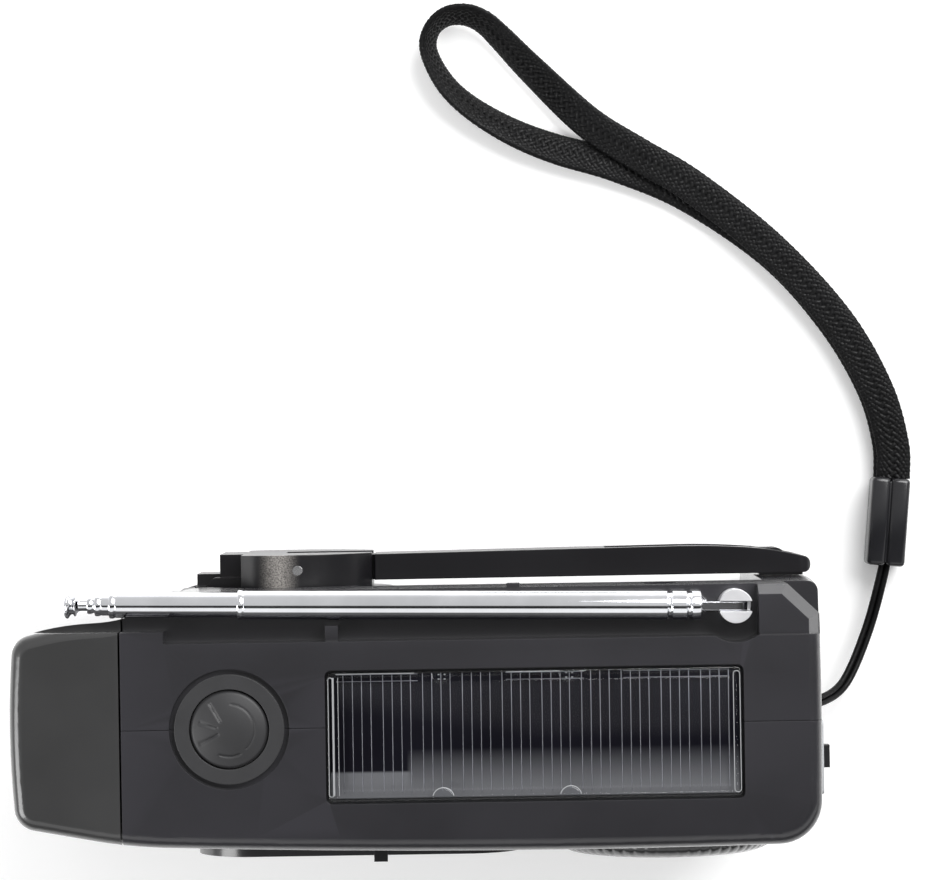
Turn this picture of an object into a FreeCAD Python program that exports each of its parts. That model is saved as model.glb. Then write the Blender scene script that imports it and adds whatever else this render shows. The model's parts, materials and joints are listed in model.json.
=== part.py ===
import FreeCAD, Part
import math
import os

# Hand-cranked, solar-topped emergency radio with a wrist strap.
# Origin: centre of the base face. +X runs to the strap end, +Y to the crank side, +Z up. Millimetres.

V = FreeCAD.Vector

# ---- body -----------------------------------------------------------------------------------
HALF_LENGTH = 63.6
BACK_Y = 21.2
HEIGHT = 60.0
END_SCALE = 0.976        # top and base outlines are this much smaller than the waist
EDGE_ROUND = 2.0
WALL = 3.2
FLOOR = 2.2
ROOF = 3.6
HEAD_SPLIT_X = -45.1
SPLIT_GAP = 0.15
SEAM_GAP = 0.03

# ---- top ------------------------------------------------------------------------------------
BUTTON_X = -28.4
BUTTON_R = 6.0
RING_R = 8.4
RING_HOLE_R = 6.15
RECESS_R = 9.2
RECESS_DEEP = 0.8
WINDOW = (-13.45, 50.1, -11.45, 8.5)
WINDOW_DEEP = 2.8
COVER_PLAY = 0.25
TAB_X = (4.2, 23.7)
SHELF_Y = 13.2
SHELF_DROP = 0.6
SHELF_RIM_DROP = 3.4

# ---- antenna --------------------------------------------------------------------------------
ANT_Y = 17.6
ANT_Z = 57.2
ANT_SWING = 0.93         # folded antenna lies this many degrees off the case's long side
PIVOT_X = 49.4
TROUGH_LEFT = -38.3
TROUGH_FRONT = 13.15
TROUGH_FLOOR = 54.7
POCKET_R = 3.5
POCKET_BULGE_R = 5.5
TUBE_ENDS = (44.1, -27.0, -46.7, -48.9, -50.1, -51.6)
TUBE_R = (2.25, 1.95, 1.6, 1.25, 0.9)
TUBE_PLAY = 0.05
TIP_X = -53.7
CRIMP_FROM_END = (5.0, 2.0)
TANG_THICK = 1.44

# ---- strap ----------------------------------------------------------------------------------
STRAP_WIDTH = 5.4
STRAP_THICK = 1.5
CLAMP_X = 79.3
CLAMP_Y = 28.8

# ---- crank ----------------------------------------------------------------------------------
HUB_X = -20.5
HUB_Z = 30.0
FLANGE_R = 17.0
FLANGE_BACK_Y = 19.85
FLANGE_FACE_Y = 20.4
DRUM_R = 15.5
DRUM_LEFT = -27.2
DRUM_RIGHT = -6.8
DRUM_FACE_Y = 26.0
FOLD_X = -18.3
FOLD_Y = 23.6
KNOB_X = 57.6
KNOB_Y = 23.7
ARM_HALF = 6.0
SLOT_HALF = 3.4

# ---- dynamo gearing -------------------------------------------------------------------------
MODULE = 0.6
DRIVE_TEETH = 36
STEP_TEETH = 12
IDLER_TEETH = 30
ROTOR_TEETH = 10
PRESSURE = math.radians(25)
BACKLASH = 0.12
CENTRE_PLAY = 0.05

# ---- torch ----------------------------------------------------------------------------------
LAMP_Z = 30.0
LAMP_MOUTH_R = 12.0
LENS_R = 13.0

# ---- inside ---------------------------------------------------------------------------------
CELL_Y = 10.0
CELL_Z = 11.6
CELL_R = 7.0
FERRITE_Y = -6.6
FERRITE_Z = 50.6
FERRITE_R = 2.6

# ---- front ----------------------------------------------------------------------------------
DIAL_X = 39.4
DIAL_Z = 30.0
DIAL_R = 17.5
SPEAKER_X = -8.9
SPEAKER_Z = 25.0
BAND_X = -5.7
BAND_Z = 51.0

# ---- right end ------------------------------------------------------------------------------
SWITCH_Y = -6.1
SWITCH_Z = 52.0
POST_X = 61.4
POST_Z = 14.0
PORT_Y = -7.5
PORT_Z = 33.0


def box(x0, x1, y0, y1, z0, z1):
    return Part.makeBox(x1 - x0, y1 - y0, z1 - z0, V(x0, y0, z0))


def rod_x(x0, x1, y, z, radius):
    return Part.makeCylinder(radius, x1 - x0, V(x0, y, z), V(1, 0, 0))


def rod_y(y0, y1, x, z, radius):
    return Part.makeCylinder(radius, y1 - y0, V(x, y0, z), V(0, 1, 0))


def rod_z(z0, z1, x, y, radius):
    return Part.makeCylinder(radius, z1 - z0, V(x, y, z0), V(0, 0, 1))


def join(first, *others):
    return first.fuse(list(others)).removeSplitter()


def cut(first, *others):
    return first.cut(list(others)).removeSplitter()


def rounded_wire(corners, place):
    """Closed outline; each corner (a, b, c) is rounded by an arc starting c before the corner."""
    edges = []
    count = len(corners)
    ends = []
    for i in range(count):
        a, b, size = corners[i]
        here = V(a, b, 0)
        back = V(corners[i - 1][0], corners[i - 1][1], 0) - here
        ahead = V(corners[(i + 1) % count][0], corners[(i + 1) % count][1], 0) - here
        back.normalize()
        ahead.normalize()
        if size == 0:
            ends.append((here, here, here))
            continue
        half = back.getAngle(ahead) / 2
        middle = back + ahead
        middle.normalize()
        inner = size / math.cos(half) - size * math.tan(half)
        ends.append((here + back * size, here + middle * inner, here + ahead * size))
    for i in range(count):
        start, middle, end = ends[i]
        if (start - end).Length > 1e-6:
            arc = Part.Arc(place(start.x, start.y), place(middle.x, middle.y), place(end.x, end.y))
            edges.append(arc.toShape())
        following = ends[(i + 1) % count][0]
        if (following - end).Length > 1e-6:
            edges.append(Part.makeLine(place(end.x, end.y), place(following.x, following.y)))
    return Part.Wire(edges)


def flat(z):
    return lambda a, b: V(a, b, z)


def upright(y):
    return lambda a, b: V(a, y, b)


def sideways(x):
    return lambda a, b: V(x, a, b)


def prism(corners, place, along):
    return Part.Face(rounded_wire(corners, place)).extrude(along)


def rectangle(a0, a1, b0, b1, size):
    return [(a0, b0, size), (a1, b0, size), (a1, b1, size), (a0, b1, size)]


def body_corners():
    """Plan of the case at its waist, counter-clockwise from the back of the lamp end."""
    return [
        (-62.9, 14.4, 2.4),
        (-63.9, 0.0, 11.0),
        (-62.7, -15.0, 2.8),
        (HEAD_SPLIT_X, -18.3, 6.0),
        (8.0, -20.3, 45.0),
        (63.5, -19.3, 6.5),
        (63.8, 3.0, 12.0),
        (63.5, BACK_Y, 1.6),
        (-35.0, BACK_Y, 3.0),
        (-46.4, 16.8, 3.0),
        (-55.5, 16.3, 4.0),
    ]


def body_form():
    """Outer form: slightly barrelled walls, rounded top and base edges, back corner cut away
    above the crank."""
    wires = []
    for level, scale in ((0, END_SCALE), (HEIGHT / 2, 1.0), (HEIGHT, END_SCALE)):
        corners = [(a * scale, b * scale, c) for a, b, c in body_corners()]
        wires.append(rounded_wire(corners, flat(level)))
    form = round_ends(Part.makeLoft(wires, True, False))
    clip = prism([(55.26, 23.0, 0), (65.98, 12.8, 0), (68.0, 23.0, 0)], flat(50.0), V(0, 0, 20))
    return form.cut(clip)


def round_ends(form):
    edges = []
    for edge in form.Edges:
        levels = [vertex.Z for vertex in edge.Vertexes]
        on_top = all(abs(level - HEIGHT) < 1e-4 for level in levels)
        on_base = all(abs(level) < 1e-4 for level in levels)
        if on_top or on_base:
            edges.append(edge)
    return form.makeFillet(EDGE_ROUND, edges)


def cavity():
    """Space inside the case, right of the lamp bulkhead and clear of the antenna trough."""
    inner = rounded_wire(body_corners(), flat(FLOOR)).makeOffset2D(-WALL)
    space = Part.Face(inner).extrude(V(0, 0, HEIGHT - ROOF - FLOOR))
    space = space.common(box(HEAD_SPLIT_X + 2.2, 70, -30, 30, 0, HEIGHT))
    under_trough = box(TROUGH_LEFT - 12, 70, TROUGH_FRONT - 2.2, 30, TROUGH_FLOOR - 2.2, HEIGHT)
    return space.cut(under_trough)


def antenna_room():
    """Trough along the top rear edge, the pivot pocket, the bare left run-out and the shelf."""
    trough = box(TROUGH_LEFT, PIVOT_X, TROUGH_FRONT, 30, TROUGH_FLOOR, HEIGHT + 1)
    run_out = box(-55, TROUGH_LEFT + 1, ANT_Y - 2.6, 30, TROUGH_FLOOR, HEIGHT + 1)
    pocket = rod_z(TROUGH_FLOOR, HEIGHT + 1, PIVOT_X, ANT_Y, POCKET_R)
    mouth = box(PIVOT_X - POCKET_R, PIVOT_X + POCKET_R, TROUGH_FRONT, 30, TROUGH_FLOOR, HEIGHT + 1)
    bulge = rod_z(TROUGH_FLOOR, HEIGHT + 1, PIVOT_X, ANT_Y, POCKET_BULGE_R)
    bulge = bulge.common(box(PIVOT_X - 6, PIVOT_X + 6, 0, TROUGH_FRONT + 0.3, 0, HEIGHT + 1))
    return trough.fuse([run_out, pocket, mouth, bulge, shelf_room()])


def shelf_room():
    """What is taken off the back right corner of the top: a low shelf with steep outer rims."""
    left = PIVOT_X - 3.0
    inner = [(left, SHELF_Y), (60.5, SHELF_Y), (60.5, 15.5), (56.4, 19.4), (left, 19.4)]
    outer = [(left, SHELF_Y), (62.3, SHELF_Y), (62.3, 16.3), (57.36, 21.0), (left, 21.0)]
    rings = []
    for corners, drop in ((outer, SHELF_RIM_DROP), (inner, SHELF_DROP)):
        points = [V(x, y, HEIGHT - drop) for x, y in corners]
        rings.append(Part.makePolygon(points + [points[0]]))
    remains = Part.makeLoft(rings, True, True)
    return box(left, 70, SHELF_Y, 30, HEIGHT - SHELF_RIM_DROP, HEIGHT + 1).cut(remains)


def top_openings():
    """Openings shared by both shell halves: button well, solar window, wire slot."""
    recess = rod_z(HEIGHT - RECESS_DEEP, HEIGHT + 1, BUTTON_X, 0, RECESS_R)
    well = rod_z(HEIGHT - 5, HEIGHT + 1, BUTTON_X, 0, RING_HOLE_R + 0.6)
    x0, x1, y0, y1 = WINDOW
    corners = rectangle(x0 - COVER_PLAY, x1 + COVER_PLAY, y0 - COVER_PLAY, y1 + COVER_PLAY, 1.0)
    window = prism(corners, flat(HEIGHT - WINDOW_DEEP), V(0, 0, 5))
    wires = box(x0 + 20, x1 - 20, -6, 3, HEIGHT - 5, HEIGHT)
    return [recess, well, window, wires]


def end_openings():
    """Openings in the strap end: strap scoop, port recess, side switch seat."""
    scoop = rod_z(POST_Z - 4, POST_Z + 4, POST_X + 0.8, 0, 6.5)
    ports = prism(rectangle(PORT_Y - 6, PORT_Y + 6, PORT_Z - 9, PORT_Z + 9, 1.5),
                  sideways(HALF_LENGTH - 1.9), V(6, 0, 0))
    usb_c = box(58, 66, PORT_Y - 4.7, PORT_Y + 4.7, PORT_Z - 6.2, PORT_Z - 2.7)
    usb_a = box(58, 66, PORT_Y - 5, PORT_Y + 5, PORT_Z + 1.0, PORT_Z + 6.6)
    seat = prism(rectangle(SWITCH_Y - 5.8, SWITCH_Y + 5.8, SWITCH_Z - 3.1, SWITCH_Z + 3.1, 0.8),
                 sideways(61.6), V(6, 0, 0))
    slot = box(56, 66, SWITCH_Y - 4.2, SWITCH_Y + 4.2, SWITCH_Z - 1.2, SWITCH_Z + 1.2)
    return [scoop, ports, usb_c, usb_a, seat, slot, strap_post()]


def strap_block():
    """Solid lump inside the end wall that closes the strap scoop off from the interior."""
    return box(53.2, 62.0, -9.0, 9.0, POST_Z - 6, POST_Z + 6)


def screw_places():
    return [(-39.8, 6.4), (50.0, 6.2), (38.0, 49.2), (-39.8, 50.0)]


def case_half(form, y0, y1):
    """One half of the main case, hollow, between two planes across its depth."""
    half = form.common(box(HEAD_SPLIT_X + SPLIT_GAP, 70, y0, y1, -1, HEIGHT + 1))
    return half.cut(cavity())


def front_shell(form):
    """Front half of the case with screw posts and seats for the dial, panel and sliders."""
    half = case_half(form, -40, -SEAM_GAP)
    inside = form.common(box(-45, 70, -40, -SEAM_GAP, -1, HEIGHT + 1))
    posts = [rod_y(-18.0, -SEAM_GAP, x, z, 3.0) for x, z in screw_places()]
    extra = strap_block().fuse(posts).common(inside)
    half = half.fuse(extra)
    holes = top_openings() + end_openings()
    holes += [rod_y(-12.2, 1, x, z, 1.3) for x, z in screw_places()]
    holes.append(rod_y(-40, -18.2, DIAL_X, DIAL_Z, DIAL_R + 0.4))
    holes.append(rod_y(-40, -10, DIAL_X, DIAL_Z, 3.4))
    holes.append(prism(grille_corners(0.2), upright(-40), V(0, 21.3, 0)))
    holes.append(rod_y(-30, -10, SPEAKER_X, SPEAKER_Z, 18.4))
    holes.append(box(BAND_X - 4.4, BAND_X + 4.4, -30, -15, BAND_Z - 1.0, BAND_Z + 1.0))
    return cut(half, *holes)


def arm_recess():
    """Shallow parking recess behind the crank arm; the rear wall leans in towards its foot."""
    profile = [V(-9, 19.2, -1), V(-9, 21.2, 50), V(-9, 30, 50), V(-9, 30, -1)]
    face = Part.Face(Part.makePolygon(profile + [profile[0]]))
    return face.extrude(V(63.5, 0, 0))


def rear_shell(form):
    """Rear half of the case: antenna trough and pivot post, hub seat and gear shaft posts."""
    half = case_half(form, SEAM_GAP, 40)
    inside = form.common(box(-45, 70, SEAM_GAP, 40, -1, HEIGHT + 1))
    posts = [rod_y(SEAM_GAP, 20.0, x, z, 3.0) for x, z in screw_places()]
    posts.append(rod_z(44.0, TROUGH_FLOOR, PIVOT_X, ANT_Y, 4.0))
    posts.append(rod_y(15.6, 20.0, HUB_X, HUB_Z, 5.0))
    posts.append(rod_y(15.6, 20.0, *idler_place(), 2.6))
    extra = strap_block().fuse(posts).common(inside)
    half = half.fuse(extra)
    rib = box(-13.6, -11.6, TROUGH_FRONT - 1, 15.5, TROUGH_FLOOR - 1, 58.4)
    rest = box(14.4, 16.4, 18.0, 21.45, TROUGH_FLOOR - 2.6, TROUGH_FLOOR)
    holes = top_openings() + end_openings()
    holes.append(antenna_room())
    holes.append(arm_recess())
    holes += [rod_y(-1, 30, x, z, 1.45) for x, z in screw_places()]
    holes += [rod_y(17.6, 30, x, z, 2.8) for x, z in screw_places()]
    holes.append(rod_y(FLANGE_BACK_Y - 0.25, 30, HUB_X, HUB_Z, FLANGE_R + 0.4))
    holes.append(rod_y(10, 30, HUB_X, HUB_Z, 3.05))
    holes.append(rod_y(10, 18.4, *idler_place(), 1.05))
    holes.append(rod_z(40, 60, PIVOT_X, ANT_Y, 1.65))
    holes.append(rod_z(38, 44, PIVOT_X, ANT_Y, 1.9))
    return join(cut(half, *holes), rib, rest)


def lamp_head(form):
    """Separate end cap that carries the torch; a short spigot runs into the main case."""
    cap = form.common(box(-70, HEAD_SPLIT_X - SPLIT_GAP, -40, 40, -1, HEIGHT + 1))
    inner = rounded_wire(body_corners(), flat(FLOOR)).makeOffset2D(-2.4)
    space = Part.Face(inner).extrude(V(0, 0, HEIGHT - 2 * FLOOR))
    space = space.common(box(-59.6, -30, -40, 40, 0, HEIGHT))
    mouth = rod_x(-70, -50, 0, LAMP_Z, LAMP_MOUTH_R)
    seat = rod_x(-61.4, -50, 0, LAMP_Z, LENS_R + 0.1)
    flare = Part.makeCone(15.0, LAMP_MOUTH_R, 2.6, V(-64.2, 0, LAMP_Z), V(1, 0, 0))
    run_out = box(-70, -40, ANT_Y - 2.6, 30, TROUGH_FLOOR, HEIGHT + 1)
    cap = cap.cut([space.cut(run_out), run_out, mouth, seat, flare])
    collar = rod_x(-59.8, -57.0, 0, LAMP_Z, 15.0).cut(rod_x(-60, -50, 0, LAMP_Z, LENS_R + 0.1))
    return join(cap, collar)


def lamp_lens():
    """Clear disc with a slightly domed face."""
    lens = rod_x(-61.3, -59.9, 0, LAMP_Z, LENS_R)
    dome = Part.makeSphere(30.0, V(-32.6, 0, LAMP_Z))
    dome = dome.common(rod_x(-63, -61.3, 0, LAMP_Z, LAMP_MOUTH_R - 0.4))
    return join(lens, dome)


def lamp_reflector():
    """Bowl behind the lens, turned about the lamp axis."""
    profile = [(-59.8, 12.9), (-59.8, 12.2), (-54.5, 8.6), (-51.0, 2.6), (-50.2, 2.6),
               (-50.2, 3.8), (-53.8, 9.6), (-58.8, 12.9)]
    points = [V(x, 0, LAMP_Z + r) for x, r in profile]
    face = Part.Face(Part.makePolygon(points + [points[0]]))
    return face.revolve(V(0, 0, LAMP_Z), V(1, 0, 0), 360)


def lamp_board():
    """Round board with the light emitter on it."""
    plate = rod_x(-50.1, -48.7, 0, LAMP_Z, 9.0)
    emitter = rod_x(-52.0, -50.1, 0, LAMP_Z, 2.3)
    return join(plate, emitter)


def button_ring():
    """Soft ring round the button with a sleeve that guides it."""
    ring = rod_z(HEIGHT - RECESS_DEEP + 0.02, HEIGHT + 0.15, BUTTON_X, 0, RING_R)
    sleeve = rod_z(HEIGHT - 3.4, HEIGHT - 0.5, BUTTON_X, 0, RING_HOLE_R + 0.55)
    hole = rod_z(HEIGHT - 5, HEIGHT + 1, BUTTON_X, 0, RING_HOLE_R)
    return cut(join(ring, sleeve), hole)


def torch_button():
    """Soft cap with a shallow dome."""
    stem = rod_z(HEIGHT - 3.6, HEIGHT + 0.2, BUTTON_X, 0, BUTTON_R)
    crown = Part.makeSphere(19.0, V(BUTTON_X, 0, HEIGHT - 17.9))
    crown = crown.common(rod_z(HEIGHT + 0.2, HEIGHT + 3, BUTTON_X, 0, BUTTON_R))
    return join(stem, crown)


def torch_switch():
    """Push switch under the button."""
    can = box(BUTTON_X - 3, BUTTON_X + 3, -3, 3, HEIGHT - 9.0, HEIGHT - 5.4)
    plunger = rod_z(HEIGHT - 5.4, HEIGHT - 4.7, BUTTON_X, 0, 1.7)
    base = box(BUTTON_X - 5, BUTTON_X + 5, -5, 5, HEIGHT - 10.2, HEIGHT - 9.0)
    return join(base, can, plunger)


def solar_cells():
    """Solar cell plate that fills the window under its lid."""
    x0, x1, y0, y1 = WINDOW
    return box(x0 + 1.6, x1 - 1.6, y0 + 1.6, y1 - 1.6, HEIGHT - WINDOW_DEEP + 0.05, HEIGHT - 1.6)


def solar_cover():
    """Clear lid with a skirt round the cells and four half-round snap tabs."""
    x0, x1, y0, y1 = WINDOW
    lid = prism(rectangle(x0, x1, y0, y1, 1.0), flat(HEIGHT - WINDOW_DEEP + 0.05), V(0, 0, 2.6))
    under = box(x0 + 1.4, x1 - 1.4, y0 + 1.4, y1 - 1.4, HEIGHT - 4, HEIGHT - 1.5)
    lid = lid.cut(under)
    tabs = []
    for x in TAB_X:
        for y in (y0 + 0.4, y1 - 0.4):
            tabs.append(rod_z(HEIGHT - 0.6, HEIGHT + 0.05, x, y, 1.7))
    inside = box(x0 + 0.4, x1 - 0.4, y0 + 0.4, y1 - 0.4, HEIGHT - 2, HEIGHT + 1)
    return join(lid, *[tab.common(inside) for tab in tabs])


def grille_corners(grow):
    half_x = 26.0 + grow
    half_z = 20.5 + grow
    return rectangle(SPEAKER_X - half_x, SPEAKER_X + half_x,
                     SPEAKER_Z - half_z, SPEAKER_Z + half_z, 9.0 + grow)


def speaker_grille():
    """Raised front panel with rings of round sound holes."""
    panel = prism(grille_corners(0), upright(-21.2), V(0, 2.4, 0))
    holes = [rod_y(-30, -10, SPEAKER_X, SPEAKER_Z, 1.2)]
    for ring in range(1, 5):
        for n in range(6 * ring):
            turn = 2 * math.pi * n / (6 * ring)
            x = SPEAKER_X + 4.0 * ring * math.cos(turn)
            z = SPEAKER_Z + 4.0 * ring * math.sin(turn)
            holes.append(rod_y(-30, -10, x, z, 1.2))
    return cut(panel, *holes)


def speaker():
    """Small loudspeaker: basket rim, cone and magnet."""
    basket = rod_y(-16.4, -14.6, SPEAKER_X, SPEAKER_Z, 18.2)
    cone = Part.makeCone(17.0, 8.0, 5.0, V(SPEAKER_X, -14.6, SPEAKER_Z), V(0, 1, 0))
    magnet = rod_y(-9.6, -6.0, SPEAKER_X, SPEAKER_Z, 9.0)
    bowl = Part.makeCone(16.0, 4.0, 4.6, V(SPEAKER_X, -16.5, SPEAKER_Z), V(0, 1, 0))
    return cut(join(basket, cone, magnet), bowl)


def tuning_dial():
    """Thumb dial with a bevelled rim, finger dimple and the shaft behind it."""
    rim = rod_y(-21.2, -18.35, DIAL_X, DIAL_Z, DIAL_R)
    bevel = Part.makeCone(DIAL_R - 1.6, DIAL_R, 1.1, V(DIAL_X, -22.3, DIAL_Z), V(0, 1, 0))
    shaft = rod_y(-18.35, -14.2, DIAL_X, DIAL_Z, 3.0)
    dimple = Part.makeSphere(7.0, V(DIAL_X, -27.7, DIAL_Z + 10.5))
    return cut(join(rim, bevel, shaft), dimple)


def tuning_capacitor():
    """Square tuning capacitor; the dial shaft turns inside its front bush."""
    can = box(DIAL_X - 10, DIAL_X + 10, -13.0, -5.0, DIAL_Z - 10, DIAL_Z + 10)
    bush = rod_y(-15.8, -13.0, DIAL_X, DIAL_Z, 5.0)
    bore = rod_y(-20, -13.4, DIAL_X, DIAL_Z, 3.05)
    return cut(join(can, bush), bore)


def band_slider():
    """Nub of the front slide switch on its shoe."""
    nub = box(BAND_X - 1.05, BAND_X + 1.05, -21.5, -14.6, BAND_Z - 0.9, BAND_Z + 0.9)
    shoe = box(BAND_X - 2.0, BAND_X + 2.0, -15.6, -14.6, BAND_Z - 1.6, BAND_Z + 1.6)
    return join(nub, shoe)


def band_switch():
    """Body of the front slide switch with the track the shoe runs in."""
    body = box(BAND_X - 6.5, BAND_X + 6.5, -16.0, -11.6, BAND_Z - 3.4, BAND_Z + 3.4)
    track = box(BAND_X - 5.3, BAND_X + 5.3, -20, -14.5, BAND_Z - 1.75, BAND_Z + 1.75)
    return cut(body, track)


def switch_plate():
    """Pale plate round the side slider."""
    plate = prism(rectangle(SWITCH_Y - 5.7, SWITCH_Y + 5.7, SWITCH_Z - 3.0, SWITCH_Z + 3.0, 0.8),
                  sideways(61.65), V(1.25, 0, 0))
    slot = box(58, 66, SWITCH_Y - 4.2, SWITCH_Y + 4.2, SWITCH_Z - 1.2, SWITCH_Z + 1.2)
    return cut(plate, slot)


def side_slider():
    """Nub of the side slide switch on its shoe."""
    nub = box(59.2, 64.0, SWITCH_Y - 1.75, SWITCH_Y + 1.75, SWITCH_Z - 1.1, SWITCH_Z + 1.1)
    shoe = box(58.6, 59.4, SWITCH_Y - 2.0, SWITCH_Y + 2.0, SWITCH_Z - 1.6, SWITCH_Z + 1.6)
    return join(nub, shoe)


def side_switch():
    """Body of the side slide switch."""
    body = box(55.4, 59.6, SWITCH_Y - 5.4, SWITCH_Y + 5.0, SWITCH_Z - 3.4, SWITCH_Z + 3.4)
    track = box(58.5, 60, SWITCH_Y - 4.6, SWITCH_Y + 4.6, SWITCH_Z - 1.75, SWITCH_Z + 1.75)
    return cut(body, track)


def port_cover():
    """Rubber door over the two sockets, hinged on its rear edge."""
    x0 = HALF_LENGTH - 1.8
    door = prism(rectangle(PORT_Y - 5.8, PORT_Y + 5.8, PORT_Z - 8.8, PORT_Z + 8.8, 1.4),
                 sideways(x0), V(1.7, 0, 0))
    grip = prism(rectangle(PORT_Y - 5.2, PORT_Y - 3.8, PORT_Z - 4.0, PORT_Z + 4.0, 0.5),
                 sideways(x0 + 1.6), V(0.8, 0, 0))
    plug = prism(rectangle(PORT_Y - 4.0, PORT_Y + 3.6, PORT_Z + 2.0, PORT_Z + 5.6, 0.6),
                 sideways(x0 - 0.9), V(1.0, 0, 0))
    return join(door, grip, plug)


def usb_c_socket():
    """Charging socket: oval shell with its tongue."""
    shell = prism(rectangle(PORT_Y - 4.5, PORT_Y + 4.5, PORT_Z - 6.1, PORT_Z - 2.8, 1.5),
                  sideways(54.0), V(6.6, 0, 0))
    mouth = prism(rectangle(PORT_Y - 4.1, PORT_Y + 4.1, PORT_Z - 5.7, PORT_Z - 3.2, 1.1),
                  sideways(55.5), V(8, 0, 0))
    tongue = box(55.0, 60.0, PORT_Y - 3.2, PORT_Y + 3.2, PORT_Z - 4.75, PORT_Z - 4.15)
    return join(cut(shell, mouth), tongue)


def usb_a_socket():
    """Output socket: rectangular shell with its tongue."""
    shell = box(50.0, 60.6, PORT_Y - 4.6, PORT_Y + 4.6, PORT_Z + 1.1, PORT_Z + 6.5)
    mouth = box(52.0, 66.0, PORT_Y - 4.2, PORT_Y + 4.2, PORT_Z + 1.5, PORT_Z + 6.1)
    tongue = box(51.0, 59.4, PORT_Y - 3.8, PORT_Y + 3.4, PORT_Z + 1.9, PORT_Z + 3.0)
    return join(cut(shell, mouth), tongue)


def main_board():
    """Circuit board behind the speaker with four chips."""
    board = box(-1.0, 58.5, 2.0, 3.6, 20.6, 45.4)
    chips = []
    for x, z, wide, tall in ((8, 38, 9, 9), (24, 36, 6, 6), (40, 40, 5, 4), (14, 26, 12, 5)):
        chips.append(box(x - wide / 2, x + wide / 2, 3.6, 5.0, z - tall / 2, z + tall / 2))
    return join(board, *chips)


def ferrite_rod():
    """Rod of the medium wave antenna inside the case."""
    return rod_x(-14.0, 32.0, FERRITE_Y, FERRITE_Z, FERRITE_R)


def ferrite_coil():
    winding = rod_x(6.0, 22.0, FERRITE_Y, FERRITE_Z, FERRITE_R + 0.9)
    return cut(winding, rod_x(0, 30, FERRITE_Y, FERRITE_Z, FERRITE_R))


def battery():
    """Round rechargeable cell lying in the base."""
    cell = rod_x(-4.0, 44.0, CELL_Y, CELL_Z, CELL_R)
    cap = rod_x(44.0, 45.2, CELL_Y, CELL_Z, 2.6)
    return join(cell, cap)


def idler_place():
    reach = MODULE * (DRIVE_TEETH + STEP_TEETH) / 2 + CENTRE_PLAY
    return (HUB_X - reach * math.sqrt(0.5), HUB_Z + reach * math.sqrt(0.5))


def rotor_place():
    reach = MODULE * (IDLER_TEETH + ROTOR_TEETH) / 2 + CENTRE_PLAY
    x, z = idler_place()
    return (x, z - reach)


def toothed(teeth, place, y0, y1, pointing, gap):
    """Spur gear; pointing is the angle of a tooth centre (or of a tooth gap when gap is set)."""
    pitch = MODULE * teeth / 2
    base = pitch * math.cos(PRESSURE)
    tip = pitch + 0.85 * MODULE
    root = pitch - 1.15 * MODULE
    half = (math.pi * MODULE / 2 - BACKLASH) / (2 * pitch)
    lead = half + math.tan(PRESSURE) - PRESSURE

    def flank(radius):
        angle = math.acos(min(1.0, base / radius))
        return lead - (math.tan(angle) - angle)

    def spot(radius, angle):
        return V(place[0] + radius * math.cos(angle), y0, place[1] + radius * math.sin(angle))

    step = 2 * math.pi / teeth
    first = pointing + (step / 2 if gap else 0)
    edges = []
    for n in range(teeth):
        centre = first + n * step
        low = [spot(root, centre - flank(root)), spot(pitch, centre - flank(pitch)),
               spot(tip, centre - flank(tip))]
        high = [spot(tip, centre + flank(tip)), spot(pitch, centre + flank(pitch)),
                spot(root, centre + flank(root))]
        following = spot(root, centre + step - flank(root))
        edges.append(Part.Arc(*low).toShape())
        edges.append(Part.makeLine(low[2], high[0]))
        edges.append(Part.Arc(*high).toShape())
        edges.append(Part.makeLine(high[2], following))
    return Part.Face(Part.Wire(edges)).extrude(V(0, y1 - y0, 0))


def drive_gear():
    """Crank shaft with the large driving gear, square-ended into the hub."""
    wheel = toothed(DRIVE_TEETH, (HUB_X, HUB_Z), 12.4, 15.4, math.radians(135), False)
    shaft = rod_y(11.0, 19.8, HUB_X, HUB_Z, 3.0)
    return join(wheel, shaft)


def idler_gear():
    """Two-step gear between the crank gear and the dynamo pinion, on its own shaft."""
    place = idler_place()
    small = toothed(STEP_TEETH, place, 12.6, 15.2, math.radians(-45), True)
    large = toothed(IDLER_TEETH, place, 9.4, 12.1, math.radians(-90), False)
    hub = rod_y(12.1, 12.6, *place, 2.6)
    shaft = rod_y(5.2, 18.2, *place, 1.0)
    return join(small, large, hub, shaft)


def rotor():
    """Dynamo rotor: pinion, neck, magnet disc and shaft."""
    place = rotor_place()
    pinion = toothed(ROTOR_TEETH, place, 9.2, 12.0, math.radians(90), True)
    neck = rod_y(8.6, 9.2, *place, 2.0)
    magnet = rod_y(6.6, 8.6, *place, 7.6)
    shaft = rod_y(4.6, 12.0, *place, 0.8)
    return join(pinion, neck, magnet, shaft)


def gear_plate():
    """Plate that carries the inner ends of the gear shafts."""
    plate = box(-42.4, -16.0, 4.6, 5.8, 18.0, 49.6)
    bores = [rod_y(0, 10, *idler_place(), 1.05), rod_y(0, 10, *rotor_place(), 0.85)]
    corners = [rod_y(0, 10, -39.8, 50.0, 3.4)]
    return cut(plate, *(bores + corners))


def stator():
    """Coil ring round the spinning magnet."""
    place = rotor_place()
    return cut(rod_y(5.8, 8.9, *place, 10.6), rod_y(5, 10, *place, 8.2))


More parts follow.
